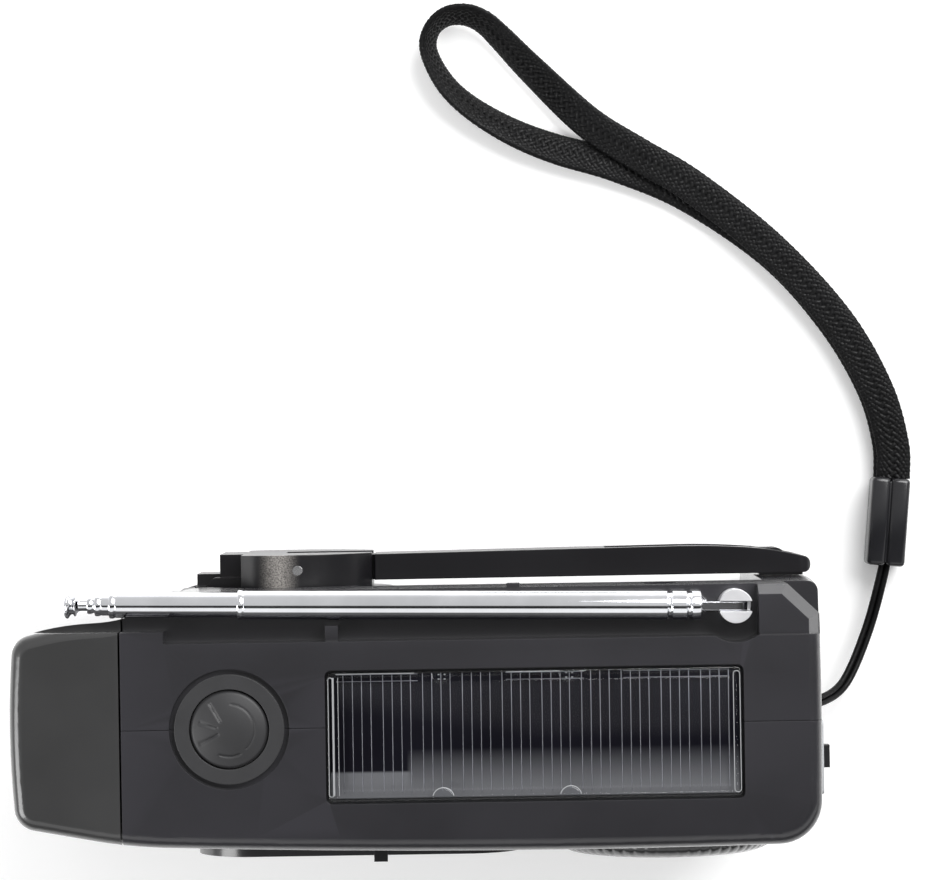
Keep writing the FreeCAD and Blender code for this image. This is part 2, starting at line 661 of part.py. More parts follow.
def crank_hub():
    """Turning hub on the back: thin flange, round drum slotted for the arm, and stepped sides."""
    flange = rod_y(FLANGE_BACK_Y, FLANGE_FACE_Y, HUB_X, HUB_Z, FLANGE_R)
    drum = rod_y(FLANGE_FACE_Y, DRUM_FACE_Y, HUB_X, HUB_Z, DRUM_R)
    drum = drum.common(box(DRUM_LEFT, DRUM_RIGHT, 20, 30, 0, HEIGHT))
    shoulder = box(-31.0, DRUM_LEFT + 1, FLANGE_FACE_Y, DRUM_FACE_Y, HUB_Z - 6.6, HUB_Z + 6.6)
    ledge = box(-34.8, -30.0, FLANGE_FACE_Y + 0.7, 22.9, HUB_Z - 4.5, HUB_Z + 4.5)
    foot = prism([(-34.9, FLANGE_FACE_Y, 0), (-27.0, FLANGE_FACE_Y, 0), (-27.0, 22.4, 0),
                  (-32.2, 22.4, 0.7), (-33.0, 21.1, 0.5), (-34.9, 21.1, 0.1)],
                 flat(HUB_Z - 8.5), V(0, 0, 17))
    slot = box(FOLD_X - 2.35, 0, 21.45, 30, HUB_Z - SLOT_HALF, HUB_Z + SLOT_HALF)
    clear = rod_z(HUB_Z - SLOT_HALF, HUB_Z + SLOT_HALF, FOLD_X, FOLD_Y, 2.35)
    bore = rod_z(0, 60, FOLD_X, FOLD_Y, 0.8)
    return cut(join(flange, drum, shoulder, ledge, foot), slot, clear, bore)


def crank_arm():
    """Flat arm; its outer face falls away towards the rounded free end, a low pad sits inside."""
    outline = [
        (-6.5, 21.6, 0.2),
        (63.2, 21.75, 1.2),
        (63.2, 24.1, 1.0),
        (57.0, 25.6, 4.0),
        (47.0, 26.3, 5.0),
        (-6.5, 25.7, 0.2),
    ]
    blade = prism(outline, flat(HUB_Z - ARM_HALF), V(0, 0, 2 * ARM_HALF))
    side = prism([(-6.5, HUB_Z - ARM_HALF, 0.3), (63.5, HUB_Z - ARM_HALF, 2.2),
                  (63.5, HUB_Z + ARM_HALF, 2.2), (-6.5, HUB_Z + ARM_HALF, 0.3)],
                 upright(20), V(0, 8, 0))
    blade = blade.common(side)
    tongue = box(FOLD_X, -6.0, 21.6, 25.6, HUB_Z - SLOT_HALF + 0.08, HUB_Z + SLOT_HALF - 0.08)
    knuckle = rod_z(HUB_Z - SLOT_HALF + 0.08, HUB_Z + SLOT_HALF - 0.08, FOLD_X, FOLD_Y, 2.0)
    pad = box(54.9, 61.9, 21.38, 22.2, HUB_Z - ARM_HALF + 0.6, HUB_Z + ARM_HALF - 0.6)
    arm = join(blade, tongue, knuckle, pad)
    slot = box(30.5, KNOB_X + 3.4, 15, 30, HUB_Z - SLOT_HALF, HUB_Z + SLOT_HALF)
    fold_bore = rod_z(0, 60, FOLD_X, FOLD_Y, 0.85)
    knob_bore = rod_z(0, HUB_Z + ARM_HALF - 1.0, KNOB_X, KNOB_Y, 0.65)
    return cut(arm, slot, fold_bore, knob_bore)


def hinge_pin():
    """Steel pin through the fork; the arm turns on it."""
    reach = math.sqrt(DRUM_R ** 2 - (FOLD_X - HUB_X) ** 2) - 0.1
    return rod_z(HUB_Z - reach, HUB_Z + reach, FOLD_X, FOLD_Y, 0.8)


def knob_stem():
    """Swivelling stem at the end of the arm: a knuckle and a round spindle."""
    y = KNOB_Y
    low = HUB_Z - SLOT_HALF + 0.1
    high = HUB_Z + SLOT_HALF - 0.1
    knuckle = rod_z(low, high, KNOB_X, y, 2.0)
    block = box(KNOB_X - 3.4, KNOB_X, y - 2.0, y + 2.0, low + 0.9, high - 0.9)
    spindle = rod_x(KNOB_X - 25.0, KNOB_X - 3.4, y, HUB_Z, 1.1)
    button = rod_x(KNOB_X - 25.6, KNOB_X - 25.0, y, HUB_Z, 1.6)
    bore = rod_z(0, 60, KNOB_X, y, 0.6)
    return cut(join(knuckle, block, spindle, button), bore)


def knob_pin():
    """Short pin pushed in from below; its upper end stays hidden inside the arm."""
    return rod_z(HUB_Z - ARM_HALF + 0.1, HUB_Z + ARM_HALF - 1.1, KNOB_X, KNOB_Y, 0.6)


def crank_grip():
    """Round grip that spins on the stem, with shallow finger grooves."""
    y = KNOB_Y
    grip = rod_x(KNOB_X - 24.9, KNOB_X - 3.5, y, HUB_Z, 2.2)
    bore = rod_x(KNOB_X - 30, KNOB_X, y, HUB_Z, 1.16)
    grooves = []
    for n in range(3):
        x = KNOB_X - 20.5 + 5.0 * n
        ring = rod_x(x, x + 2.0, y, HUB_Z, 4.0).cut(rod_x(x, x + 2.0, y, HUB_Z, 2.0))
        grooves.append(ring)
    return cut(grip, bore, *grooves)


def antenna_swivel():
    """Turning base of the antenna: slotted head, journal, threaded core."""
    head = rod_z(TROUGH_FLOOR + 0.1, HEIGHT - 0.5, PIVOT_X, ANT_Y, 2.6)
    journal = rod_z(46.0, TROUGH_FLOOR + 0.1, PIVOT_X, ANT_Y, 1.6)
    slot = box(PIVOT_X - 5, PIVOT_X + 5, ANT_Y - 0.8, ANT_Y + 0.8, ANT_Z - 2.1, HEIGHT + 1)
    thread = rod_z(40, 51, PIVOT_X, ANT_Y, 0.8)
    cross = rod_y(0, 40, PIVOT_X, ANT_Z, 0.6)
    return cut(join(head, journal), slot, thread, cross)


def pivot_screw():
    """Screw from below that holds the swivel in its post."""
    shank = rod_z(43.9, 50.5, PIVOT_X, ANT_Y, 0.8)
    head = rod_z(42.6, 43.9, PIVOT_X, ANT_Y, 1.7)
    return join(shank, head)


def antenna_pin():
    return rod_y(ANT_Y - 2.55, ANT_Y + 2.55, PIVOT_X, ANT_Z, 0.6)


def hollow(x0, x1, radius, inner):
    return cut(rod_x(x0, x1, ANT_Y, ANT_Z, radius), rod_x(x0 - 1, x1 + 1, ANT_Y, ANT_Z, inner))


def antenna_root():
    """Largest tube with two crimp rings, tapered end and the flat tang for the swivel."""
    left = TUBE_ENDS[1]
    right = TUBE_ENDS[0]
    tube = hollow(left, right, TUBE_R[0], TUBE_R[1] + TUBE_PLAY)
    plug = rod_x(right - 2.4, right, ANT_Y, ANT_Z, TUBE_R[0])
    shoulder = Part.makeCone(TUBE_R[0], 1.0, 0.9, V(right, ANT_Y, ANT_Z), V(1, 0, 0))
    half = TANG_THICK / 2
    tang = box(right - 0.5, PIVOT_X, ANT_Y - half, ANT_Y + half, ANT_Z - 1.9, ANT_Z + 1.9)
    eye = rod_y(ANT_Y - half, ANT_Y + half, PIVOT_X, ANT_Z, 1.9)
    bore = rod_y(0, 40, PIVOT_X, ANT_Z, 0.65)
    rings = []
    for back in CRIMP_FROM_END:
        x = right - back
        ring = rod_x(x, x + 0.5, ANT_Y, ANT_Z, 4.0)
        rings.append(ring.cut(rod_x(x, x + 0.5, ANT_Y, ANT_Z, TUBE_R[0] - 0.12)))
    return cut(join(tube, plug, shoulder, tang, eye), bore, *rings)


def antenna_section(n):
    """Sliding section n (1 is the first inside the root tube)."""
    left = TUBE_ENDS[n + 1]
    right = TUBE_ENDS[0] - 3.2 - 2.0 * n
    return hollow(left, right, TUBE_R[n], TUBE_R[n + 1] + TUBE_PLAY)


def antenna_tip():
    """Thinnest rod with the rounded end knob."""
    right = TUBE_ENDS[0] - 3.2 - 2.0 * 4
    rod = rod_x(TUBE_ENDS[5], right, ANT_Y, ANT_Z, TUBE_R[4])
    knob = rod_x(TIP_X, TUBE_ENDS[5], ANT_Y, ANT_Z, 2.1)
    knob = knob.makeFillet(0.6, [edge for edge in knob.Edges if edge.Length > 10])
    return join(rod, knob)


def case_screws():
    """Four crosshead screws driven in from the back."""
    screws = []
    for x, z in screw_places():
        shank = rod_y(-11.0, 17.6, x, z, 1.3)
        head = rod_y(17.6, 19.0, x, z, 2.5)
        cross = box(x - 1.5, x + 1.5, 18.4, 20, z - 0.3, z + 0.3)
        cross = cross.fuse(box(x - 0.3, x + 0.3, 18.4, 20, z - 1.5, z + 1.5))
        screws.append(cut(join(shank, head), cross))
    return Part.makeCompound(screws)


def strap_post():
    """Upright bar across the scoop; the strap cord loops round it."""
    return rod_z(POST_Z - 5.5, POST_Z + 5.5, POST_X, 0, 1.0)


def strap_cord():
    """Thin cord: an eye round the post, then a run down to the clamp on the table."""
    eye = Part.makeTorus(1.95, 0.8, V(POST_X, 0, POST_Z))
    path = Part.BSplineCurve()
    path.interpolate([V(POST_X + 1.95, 0, POST_Z), V(66.6, -0.6, 11.5), V(71.4, 2.0, 6.0),
                      V(75.6, 10.5, 3.4), V(78.4, 20.0, 3.0), V(78.8, 22.4, 3.0)])
    wire = Part.Wire(path.toShape())
    ring = Part.Wire(Part.makeCircle(0.85, path.value(path.FirstParameter),
                                     path.tangent(path.FirstParameter)[0]))
    run = wire.makePipeShell([ring], True, True)
    return join(eye, run)


def strap_clamp():
    """Rounded plastic clamp that grips cord and webbing."""
    clamp = prism(rectangle(-3.2, 3.2, -7.4, 7.4, 1.0), flat(0.0), V(0, 0, 5.6))
    clamp = clamp.makeFillet(0.6, [edge for edge in clamp.Edges if edge.BoundBox.ZLength < 0.01])
    clamp.rotate(V(0, 0, 0), V(0, 0, 1), -5)
    clamp.translate(V(CLAMP_X, CLAMP_Y, 0.05))
    cord_hole = box(77, 81, 20, 22.8, 1.5, 4.5)
    return cut(clamp, cord_hole)


def strap_webbing():
    """Flat braid: out along the lower run, round the loop and back on top of itself."""
    low = 0.95
    high = 3.0
    path = Part.BSplineCurve()
    path.interpolate([
        V(80.2, 36.4, low), V(78.6, 48.5, low), V(71.4, 62.6, low), V(60.0, 75.4, low),
        V(47.6, 85.4, low), V(36.0, 90.6, low), V(24.0, 93.8, low), V(11.0, 101.0, low),
        V(3.2, 110.2, low), V(6.2, 115.6, 1.2), V(13.0, 115.2, 1.8), V(21.4, 106.6, 2.6),
        V(31.0, 98.6, high), V(44.4, 91.2, high), V(56.4, 82.0, high), V(67.2, 71.0, high),
        V(75.2, 59.0, high), V(79.6, 47.4, high), V(80.3, 36.4, high)])
    wire = Part.Wire(path.toShape())
    start = path.value(path.FirstParameter)
    heading = path.tangent(path.FirstParameter)[0]
    side = V(-heading.y, heading.x, 0)
    side.normalize()
    side = side * (STRAP_WIDTH / 2)
    up = V(0, 0, STRAP_THICK / 2)
    corners = [start - side - up, start + side - up, start + side + up, start - side + up]
    band = Part.BRepOffsetAPI.MakePipeShell(wire)
    band.setBiNormalMode(V(0, 0, 1))
    band.add(Part.makePolygon(corners + [corners[0]]))
    band.build()
    band.makeSolid()
    return band.shape()


def build():
    """All pieces by name; the antenna pieces are turned to their folded rest angle."""
    form = body_form()
    pieces = {
        "front_shell": front_shell(form),
        "rear_shell": rear_shell(form),
        "lamp_head": lamp_head(form),
        "lamp_lens": lamp_lens(),
        "lamp_reflector": lamp_reflector(),
        "lamp_board": lamp_board(),
        "button_ring": button_ring(),
        "torch_button": torch_button(),
        "torch_switch": torch_switch(),
        "solar_cells": solar_cells(),
        "solar_cover": solar_cover(),
        "speaker_grille": speaker_grille(),
        "speaker": speaker(),
        "tuning_dial": tuning_dial(),
        "tuning_capacitor": tuning_capacitor(),
        "band_slider": band_slider(),
        "band_switch": band_switch(),
        "switch_plate": switch_plate(),
        "side_slider": side_slider(),
        "side_switch": side_switch(),
        "port_cover": port_cover(),
        "usb_c_socket": usb_c_socket(),
        "usb_a_socket": usb_a_socket(),
        "main_board": main_board(),
        "ferrite_rod": ferrite_rod(),
        "ferrite_coil": ferrite_coil(),
        "battery": battery(),
        "drive_gear": drive_gear(),
        "idler_gear": idler_gear(),
        "rotor": rotor(),
        "gear_plate": gear_plate(),
        "stator": stator(),
        "crank_hub": crank_hub(),
        "crank_arm": crank_arm(),
        "hinge_pin": hinge_pin(),
        "knob_stem": knob_stem(),
        "knob_pin": knob_pin(),
        "crank_grip": crank_grip(),
        "antenna_swivel": antenna_swivel(),
        "pivot_screw": pivot_screw(),
        "antenna_pin": antenna_pin(),
        "antenna_root": antenna_root(),
        "antenna_tip": antenna_tip(),
        "case_screws": case_screws(),
        "strap_post": strap_post(),
        "strap_cord": strap_cord(),
        "strap_clamp": strap_clamp(),
        "strap_webbing": strap_webbing(),
    }
    for n in (1, 2, 3):
        pieces["antenna_section_%d" % n] = antenna_section(n)
    for name, shape in pieces.items():
        if name.startswith("antenna"):
            shape.rotate(V(PIVOT_X, ANT_Y, 0), V(0, 0, 1), -ANT_SWING)
    return pieces


os.makedirs("parts", exist_ok=True)
for name, shape in build().items():
    shape.exportStep(os.path.join("parts", name + ".step"))
    print(name, shape.ShapeType, len(shape.Solids), shape.isValid(), round(shape.Volume, 1))
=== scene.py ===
import json
import math

import bmesh
import bpy
from mathutils import Matrix, Vector


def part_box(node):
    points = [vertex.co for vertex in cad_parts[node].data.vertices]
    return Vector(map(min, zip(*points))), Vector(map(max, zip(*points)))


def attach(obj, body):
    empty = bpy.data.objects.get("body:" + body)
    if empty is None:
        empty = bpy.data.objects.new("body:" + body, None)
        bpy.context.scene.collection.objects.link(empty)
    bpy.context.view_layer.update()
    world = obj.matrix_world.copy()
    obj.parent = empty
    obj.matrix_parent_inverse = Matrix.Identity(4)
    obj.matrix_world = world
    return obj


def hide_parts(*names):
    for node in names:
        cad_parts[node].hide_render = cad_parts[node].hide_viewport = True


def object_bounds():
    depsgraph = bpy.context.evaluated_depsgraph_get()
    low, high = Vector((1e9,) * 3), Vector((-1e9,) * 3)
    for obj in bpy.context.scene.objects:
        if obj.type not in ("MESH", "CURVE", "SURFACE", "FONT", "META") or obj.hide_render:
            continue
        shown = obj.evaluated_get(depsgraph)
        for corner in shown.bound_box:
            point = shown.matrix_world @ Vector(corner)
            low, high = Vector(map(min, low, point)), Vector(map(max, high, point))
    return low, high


# Looks of a hand-cranked emergency radio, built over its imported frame. Metres, same frame as the parts.
# +X runs to the strap end, +Y to the crank side, +Z up.

MM = 0.001
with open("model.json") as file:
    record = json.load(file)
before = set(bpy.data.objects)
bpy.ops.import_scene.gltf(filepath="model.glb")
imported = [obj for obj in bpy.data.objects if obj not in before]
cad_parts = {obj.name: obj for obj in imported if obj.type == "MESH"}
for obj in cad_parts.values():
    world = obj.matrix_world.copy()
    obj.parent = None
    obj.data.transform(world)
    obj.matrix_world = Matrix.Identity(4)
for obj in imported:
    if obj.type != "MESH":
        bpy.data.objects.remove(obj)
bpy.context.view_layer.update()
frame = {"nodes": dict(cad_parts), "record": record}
NODES = frame["nodes"]

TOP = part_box("button_ring")[1].z

# The folded antenna swings this far about its pivot, away from the case's long side.
ANTENNA_SWING = math.radians(0.93)
PIVOT = Vector((0.0494, 0.0176, 0.0572))
ANTENNA_AXIS = Vector((math.cos(ANTENNA_SWING), -math.sin(ANTENNA_SWING), 0))
ANTENNA_SIDE = Vector((math.sin(ANTENNA_SWING), math.cos(ANTENNA_SWING), 0))


# ---- material helpers -----------------------------------------------------------------------

def new_material(name):
    """New node material, with its node tree and main shader."""
    material = bpy.data.materials.new(name)
    material.use_nodes = True
    tree = material.node_tree
    shader = tree.nodes["Principled BSDF"]
    return material, tree, shader


def node(tree, kind, **inputs):
    """Adds a node; each keyword sets the input of that name, with _ for a space."""
    made = tree.nodes.new(kind)
    for key, value in inputs.items():
        made.inputs[key.replace("_", " ")].default_value = value
    return made


def place(tree, stretch=(1, 1, 1)):
    """Object coordinates, stretched along each axis."""
    coords = tree.nodes.new("ShaderNodeTexCoord")
    mapping = tree.nodes.new("ShaderNodeMapping")
    mapping.inputs["Scale"].default_value = stretch
    tree.links.new(coords.outputs["Object"], mapping.inputs["Vector"])
    return mapping.outputs["Vector"]


def noise(tree, where, scale, detail=2.0):
    """Soft random value at a place; a higher scale is finer."""
    made = node(tree, "ShaderNodeTexNoise", Scale=scale, Detail=detail)
    tree.links.new(where, made.inputs["Vector"])
    return made.outputs["Fac"]


def ramp(tree, source, low, high, start=0.0, end=1.0):
    """Runs from one colour to another as a value goes from start to end."""
    made = tree.nodes.new("ShaderNodeValToRGB")
    first, last = made.color_ramp.elements
    first.position = start
    last.position = end
    first.color = (*low, 1)
    last.color = (*high, 1)
    tree.links.new(source, made.inputs["Fac"])
    return made.outputs["Color"]


def bump(tree, shader, height, strength, distance, rounding=0.0):
    """Surface relief; rounding softens sharp part edges by that radius."""
    made = node(tree, "ShaderNodeBump", Strength=strength, Distance=distance)
    tree.links.new(height, made.inputs["Height"])
    if rounding:
        soft = tree.nodes.new("ShaderNodeBevel")
        soft.samples = 6
        soft.inputs["Radius"].default_value = rounding
        tree.links.new(soft.outputs["Normal"], made.inputs["Normal"])
    tree.links.new(made.outputs["Normal"], shader.inputs["Normal"])


def tint(colour, factor):
    """Colour made lighter or darker by a factor."""
    return tuple(min(1.0, c * factor) for c in colour)


# ---- materials ------------------------------------------------------------------------------

def moulded_plastic(name, colour, rough=0.46, grain=0.12, rounding=0.00025, sharp_edges_lighter=True, polish=1.0):
    """Satin moulded plastic: fine spark-eroded grain, faint flow marks, a lighter tint on sharply curved
    edges.
    """
    material, tree, shader = new_material(name)
    where = place(tree)
    flow = noise(tree, where, 45.0, 3.0)
    fine = noise(tree, where, 5200.0, 2.0)
    shade = ramp(tree, flow, tint(colour, 0.88), tint(colour, 1.12), 0.35, 0.65)
    if sharp_edges_lighter:
        # Sharply curved edges are mixed toward a lighter tint of the colour.
        geometry = tree.nodes.new("ShaderNodeNewGeometry")
        edge = ramp(tree, geometry.outputs["Pointiness"], (0, 0, 0), (1, 1, 1), 0.54, 0.62)
        mix = tree.nodes.new("ShaderNodeMix")
        mix.data_type = "RGBA"
        mix.inputs["B"].default_value = (*tint(colour, 1.5), 1)
        tree.links.new(edge, mix.inputs["Factor"])
        tree.links.new(shade, mix.inputs["A"])
        tree.links.new(mix.outputs["Result"], shader.inputs["Base Color"])
    else:
        tree.links.new(shade, shader.inputs["Base Color"])
    gloss = ramp(tree, flow, (rough - 0.05,) * 3, (rough + 0.06,) * 3, 0.3, 0.7)
    tree.links.new(gloss, shader.inputs["Roughness"])
    shader.inputs["IOR"].default_value = 1.45
    shader.inputs["Specular IOR Level"].default_value = 0.25
    shader.inputs["Coat Weight"].default_value = polish
    shader.inputs["Coat IOR"].default_value = 1.6
    shader.inputs["Coat Roughness"].default_value = 0.2
    bump(tree, shader, fine, grain, 0.00006, rounding)
    return material


def soft_rubber(name, colour):
    """Matte elastomer with a dusty sheen."""
    material, tree, shader = new_material(name)
    where = place(tree)
    dust = noise(tree, where, 220.0, 4.0)
    fine = noise(tree, where, 3600.0, 2.0)
    shade = ramp(tree, dust, tint(colour, 0.85), tint(colour, 1.2), 0.3, 0.7)
    tree.links.new(shade, shader.inputs["Base Color"])
    shader.inputs["Roughness"].default_value = 0.5
    shader.inputs["Sheen Weight"].default_value = 0.06
    shader.inputs["IOR"].default_value = 1.52
    bump(tree, shader, fine, 0.18, 0.00005, 0.0002)
    return material


def plated_metal(name, colour, rough, streak=(1, 1, 1), streak_scale=900.0, rounding=0.00012):
    """Bright metal with faint drawing lines along one direction and small handling marks."""
    material, tree, shader = new_material(name)
    where = place(tree, streak)
    lines = noise(tree, where, streak_scale, 3.0)
    marks = noise(tree, place(tree), 130.0, 5.0)
    shader.inputs["Metallic"].default_value = 1.0
    shade = ramp(tree, marks, tint(colour, 0.9), tint(colour, 1.05), 0.3, 0.7)
    tree.links.new(shade, shader.inputs["Base Color"])
    gloss = ramp(tree, marks, (rough,) * 3, (rough + 0.07,) * 3, 0.45, 0.75)
    tree.links.new(gloss, shader.inputs["Roughness"])
    bump(tree, shader, lines, 0.05, 0.00002, rounding)
    return material


def thin_clear(name, colour, rough=0.03, strength=1.0):
    """Thin clear plastic or glass: sees straight through, reflects by angle."""
    material, tree, shader = new_material(name)
    output = tree.nodes["Material Output"]
    clear = tree.nodes.new("ShaderNodeBsdfTransparent")
    clear.inputs["Color"].default_value = (*colour, 1)
    gloss = tree.nodes.new("ShaderNodeBsdfGlossy")
    gloss.inputs["Roughness"].default_value = rough
    angle = tree.nodes.new("ShaderNodeFresnel")
    angle.inputs["IOR"].default_value = 1.52
    scratch = noise(tree, place(tree, (1, 4, 1)), 900.0, 4.0)
    relief = node(tree, "ShaderNodeBump", Strength=0.04, Distance=0.00002)
    tree.links.new(scratch, relief.inputs["Height"])
    tree.links.new(relief.outputs["Normal"], gloss.inputs["Normal"])
    scale = tree.nodes.new("ShaderNodeMath")
    scale.operation = "MULTIPLY"
    scale.inputs[1].default_value = strength
    tree.links.new(angle.outputs["Fac"], scale.inputs[0])
    mix = tree.nodes.new("ShaderNodeMixShader")
    tree.links.new(scale.outputs["Value"], mix.inputs["Fac"])
    tree.links.new(clear.outputs["BSDF"], mix.inputs[1])
    tree.links.new(gloss.outputs["BSDF"], mix.inputs[2])
    tree.links.new(mix.outputs["Shader"], output.inputs["Surface"])
    tree.nodes.remove(shader)
    return material


def silicon_cells(name):
    """Blue-black silicon with slow colour drift, fine saw lines, and painted glare: a pale band along the
    front margin.
    """
    material, tree, shader = new_material(name)
    drift = noise(tree, place(tree), 60.0, 3.0)
    lines = noise(tree, place(tree, (1, 0.05, 1)), 2600.0, 2.0)
    shade = ramp(tree, drift, (0.0035, 0.003, 0.0065), (0.009, 0.0085, 0.014), 0.3, 0.7)
    split = tree.nodes.new("ShaderNodeSeparateXYZ")
    tree.links.new(place(tree), split.inputs["Vector"])
    # Painted glare: the front margin is mixed toward pale grey, sharp-edged on the left and fading out on
    # the right.
    crisp = node(tree, "ShaderNodeMapRange", From_Min=-0.0072, From_Max=-0.0068, To_Min=1.0, To_Max=0.0)
    faded = node(tree, "ShaderNodeMapRange", From_Min=-0.0098, From_Max=-0.0035, To_Min=1.0, To_Max=0.0)
    right = node(tree, "ShaderNodeMapRange", From_Min=-0.0014, From_Max=-0.0006)
    tree.links.new(split.outputs["Y"], crisp.inputs["Value"])
    tree.links.new(split.outputs["Y"], faded.inputs["Value"])
    tree.links.new(split.outputs["X"], right.inputs["Value"])
    painted_glare = tree.nodes.new("ShaderNodeMix")
    tree.links.new(right.outputs["Result"], painted_glare.inputs["Factor"])
    tree.links.new(crisp.outputs["Result"], painted_glare.inputs["A"])
    tree.links.new(faded.outputs["Result"], painted_glare.inputs["B"])
    mix = tree.nodes.new("ShaderNodeMix")
    mix.data_type = "RGBA"
    mix.inputs["B"].default_value = (0.2, 0.2, 0.21, 1)
    tree.links.new(painted_glare.outputs["Result"], mix.inputs["Factor"])
    tree.links.new(shade, mix.inputs["A"])
    tree.links.new(mix.outputs["Result"], shader.inputs["Base Color"])
    shader.inputs["Roughness"].default_value = 0.3
    shader.inputs["Specular IOR Level"].default_value = 0.12
    bump(tree, shader, lines, 0.03, 0.00002)
    return material


def braid_yarn(name, colour):
    """Nylon multifilament: fine threads along each strand, silky highlights."""
    material, tree, shader = new_material(name)
    where = place(tree)
    fibre = noise(tree, where, 3000.0, 2.0)
    patch = noise(tree, where, 160.0, 3.0)
    shade = ramp(tree, patch, tint(colour, 0.7), tint(colour, 1.4), 0.3, 0.7)
    tree.links.new(shade, shader.inputs["Base Color"])
    gloss = ramp(tree, fibre, (0.3,) * 3, (0.62,) * 3, 0.35, 0.65)
    tree.links.new(gloss, shader.inputs["Roughness"])
    shader.inputs["Specular IOR Level"].default_value = 0.16
    bump(tree, shader, fibre, 0.5, 0.00006)
    return material


def glossy_plastic(name, colour, rough=0.16):
    """Shiny moulding with faint handling marks."""
    material, tree, shader = new_material(name)
    marks = noise(tree, place(tree), 140.0, 4.0)
    fine = noise(tree, place(tree), 900.0, 3.0)
    shade = ramp(tree, marks, tint(colour, 0.9), tint(colour, 1.1), 0.3, 0.7)
    tree.links.new(shade, shader.inputs["Base Color"])
    gloss = ramp(tree, marks, (rough,) * 3, (rough + 0.12,) * 3, 0.4, 0.8)
    tree.links.new(gloss, shader.inputs["Roughness"])
    bump(tree, shader, fine, 0.04, 0.00003, 0.0002)
    return material


def circuit_board(name):
    """Green solder mask with faint copper tracks under it."""
    material, tree, shader = new_material(name)
    where = place(tree)
    tracks = node(tree, "ShaderNodeTexBrick", Scale=420.0, Mortar_Size=0.035)
    tree.links.new(where, tracks.inputs["Vector"])
    tracks.inputs["Color1"].default_value = (0.01, 0.1, 0.035, 1)
    tracks.inputs["Color2"].default_value = (0.014, 0.12, 0.045, 1)
    tracks.inputs["Mortar"].default_value = (0.06, 0.24, 0.09, 1)
    tree.links.new(tracks.outputs["Color"], shader.inputs["Base Color"])
    shader.inputs["Roughness"].default_value = 0.28
    bump(tree, shader, tracks.outputs["Fac"], 0.2, 0.00004)
    return material


def copper_winding(name):
    """Enamelled wire laid side by side."""
    material, tree, shader = new_material(name)
    turns = node(tree, "ShaderNodeTexWave", Scale=900.0, Distortion=0.3)
    tree.links.new(place(tree), turns.inputs["Vector"])
    shade = ramp(tree, turns.outputs["Fac"], (0.2, 0.06, 0.02), (0.75, 0.33, 0.14))
    tree.links.new(shade, shader.inputs["Base Color"])
    shader.inputs["Metallic"].default_value = 0.9
    shader.inputs["Roughness"].default_value = 0.3
    bump(tree, shader, turns.outputs["Fac"], 0.5, 0.0001)
    return material


def paper_cone(name):
    """Dark felted paper."""
    material, tree, shader = new_material(name)
    fibre = noise(tree, place(tree), 1400.0, 6.0)
    shade = ramp(tree, fibre, (0.015, 0.015, 0.015), (0.05, 0.048, 0.045), 0.3, 0.7)
    tree.links.new(shade, shader.inputs["Base Color"])
    shader.inputs["Roughness"].default_value = 0.85
    bump(tree, shader, fibre, 0.4, 0.0001)
    return material


def seamless_floor(name):
    """Very pale studio sweep with barely visible tone variation and a faint glow of its own."""
    material, tree, shader = new_material(name)
    soft = noise(tree, place(tree), 6.0, 2.0)
    shade = ramp(tree, soft, (0.88, 0.88, 0.88), (0.9, 0.9, 0.9), 0.3, 0.7)
    tree.links.new(shade, shader.inputs["Base Color"])
    shader.inputs["Roughness"].default_value = 0.8
    shader.inputs["Emission Color"].default_value = (1, 1, 1, 1)
    shader.inputs["Emission Strength"].default_value = 0.2
    return material


def painted_crown_highlight(material, centre, reach, above, colour):
    """Painted highlight: a pale speckled strip on an upward curve, about one x and only above a height,
    where light would reflect off the crown.
    """
    tree = material.node_tree
    shader = tree.nodes["Principled BSDF"]
    where = place(tree)
    split = tree.nodes.new("ShaderNodeSeparateXYZ")
    tree.links.new(where, split.inputs["Vector"])
    offset = tree.nodes.new("ShaderNodeMath")
    offset.operation = "SUBTRACT"
    offset.inputs[1].default_value = centre
    tree.links.new(split.outputs["X"], offset.inputs[0])
    away = tree.nodes.new("ShaderNodeMath")
    away.operation = "ABSOLUTE"
    tree.links.new(offset.outputs["Value"], away.inputs[0])
    near = node(tree, "ShaderNodeMapRange", From_Min=0.0, From_Max=reach, To_Min=1.0, To_Max=0.0)
    near.interpolation_type = "SMOOTHSTEP"
    tree.links.new(away.outputs["Value"], near.inputs["Value"])
    high = node(tree, "ShaderNodeMapRange", From_Min=above, From_Max=above + 0.001)
    tree.links.new(split.outputs["Z"], high.inputs["Value"])
    speckle = ramp(tree, noise(tree, where, 4600.0, 3.0), (0.3, 0.3, 0.3), (1, 1, 1), 0.36, 0.68)
    amount = speckle
    for part in (near, high):
        both = tree.nodes.new("ShaderNodeMath")
        both.operation = "MULTIPLY"
        tree.links.new(amount, both.inputs[0])
        tree.links.new(part.outputs["Result"], both.inputs[1])
        amount = both.outputs["Value"]
    mix = tree.nodes.new("ShaderNodeMix")
    mix.data_type = "RGBA"
    mix.inputs["B"].default_value = (*colour, 1)
    tree.links.new(amount, mix.inputs["Factor"])
    link = shader.inputs["Base Color"].links[0]
    tree.links.new(link.from_socket, mix.inputs["A"])
    tree.links.new(mix.outputs["Result"], shader.inputs["Base Color"])


CASE = moulded_plastic("case_plastic", (0.0125, 0.0120, 0.0150))
HEAD = moulded_plastic("head_plastic", (0.023, 0.023, 0.0234))
FRONT = moulded_plastic("front_plastic", (0.0125, 0.0125, 0.0135), 0.38)
CRANK = moulded_plastic("crank_plastic", (0.004, 0.0037, 0.005), 0.36, polish=0.3)
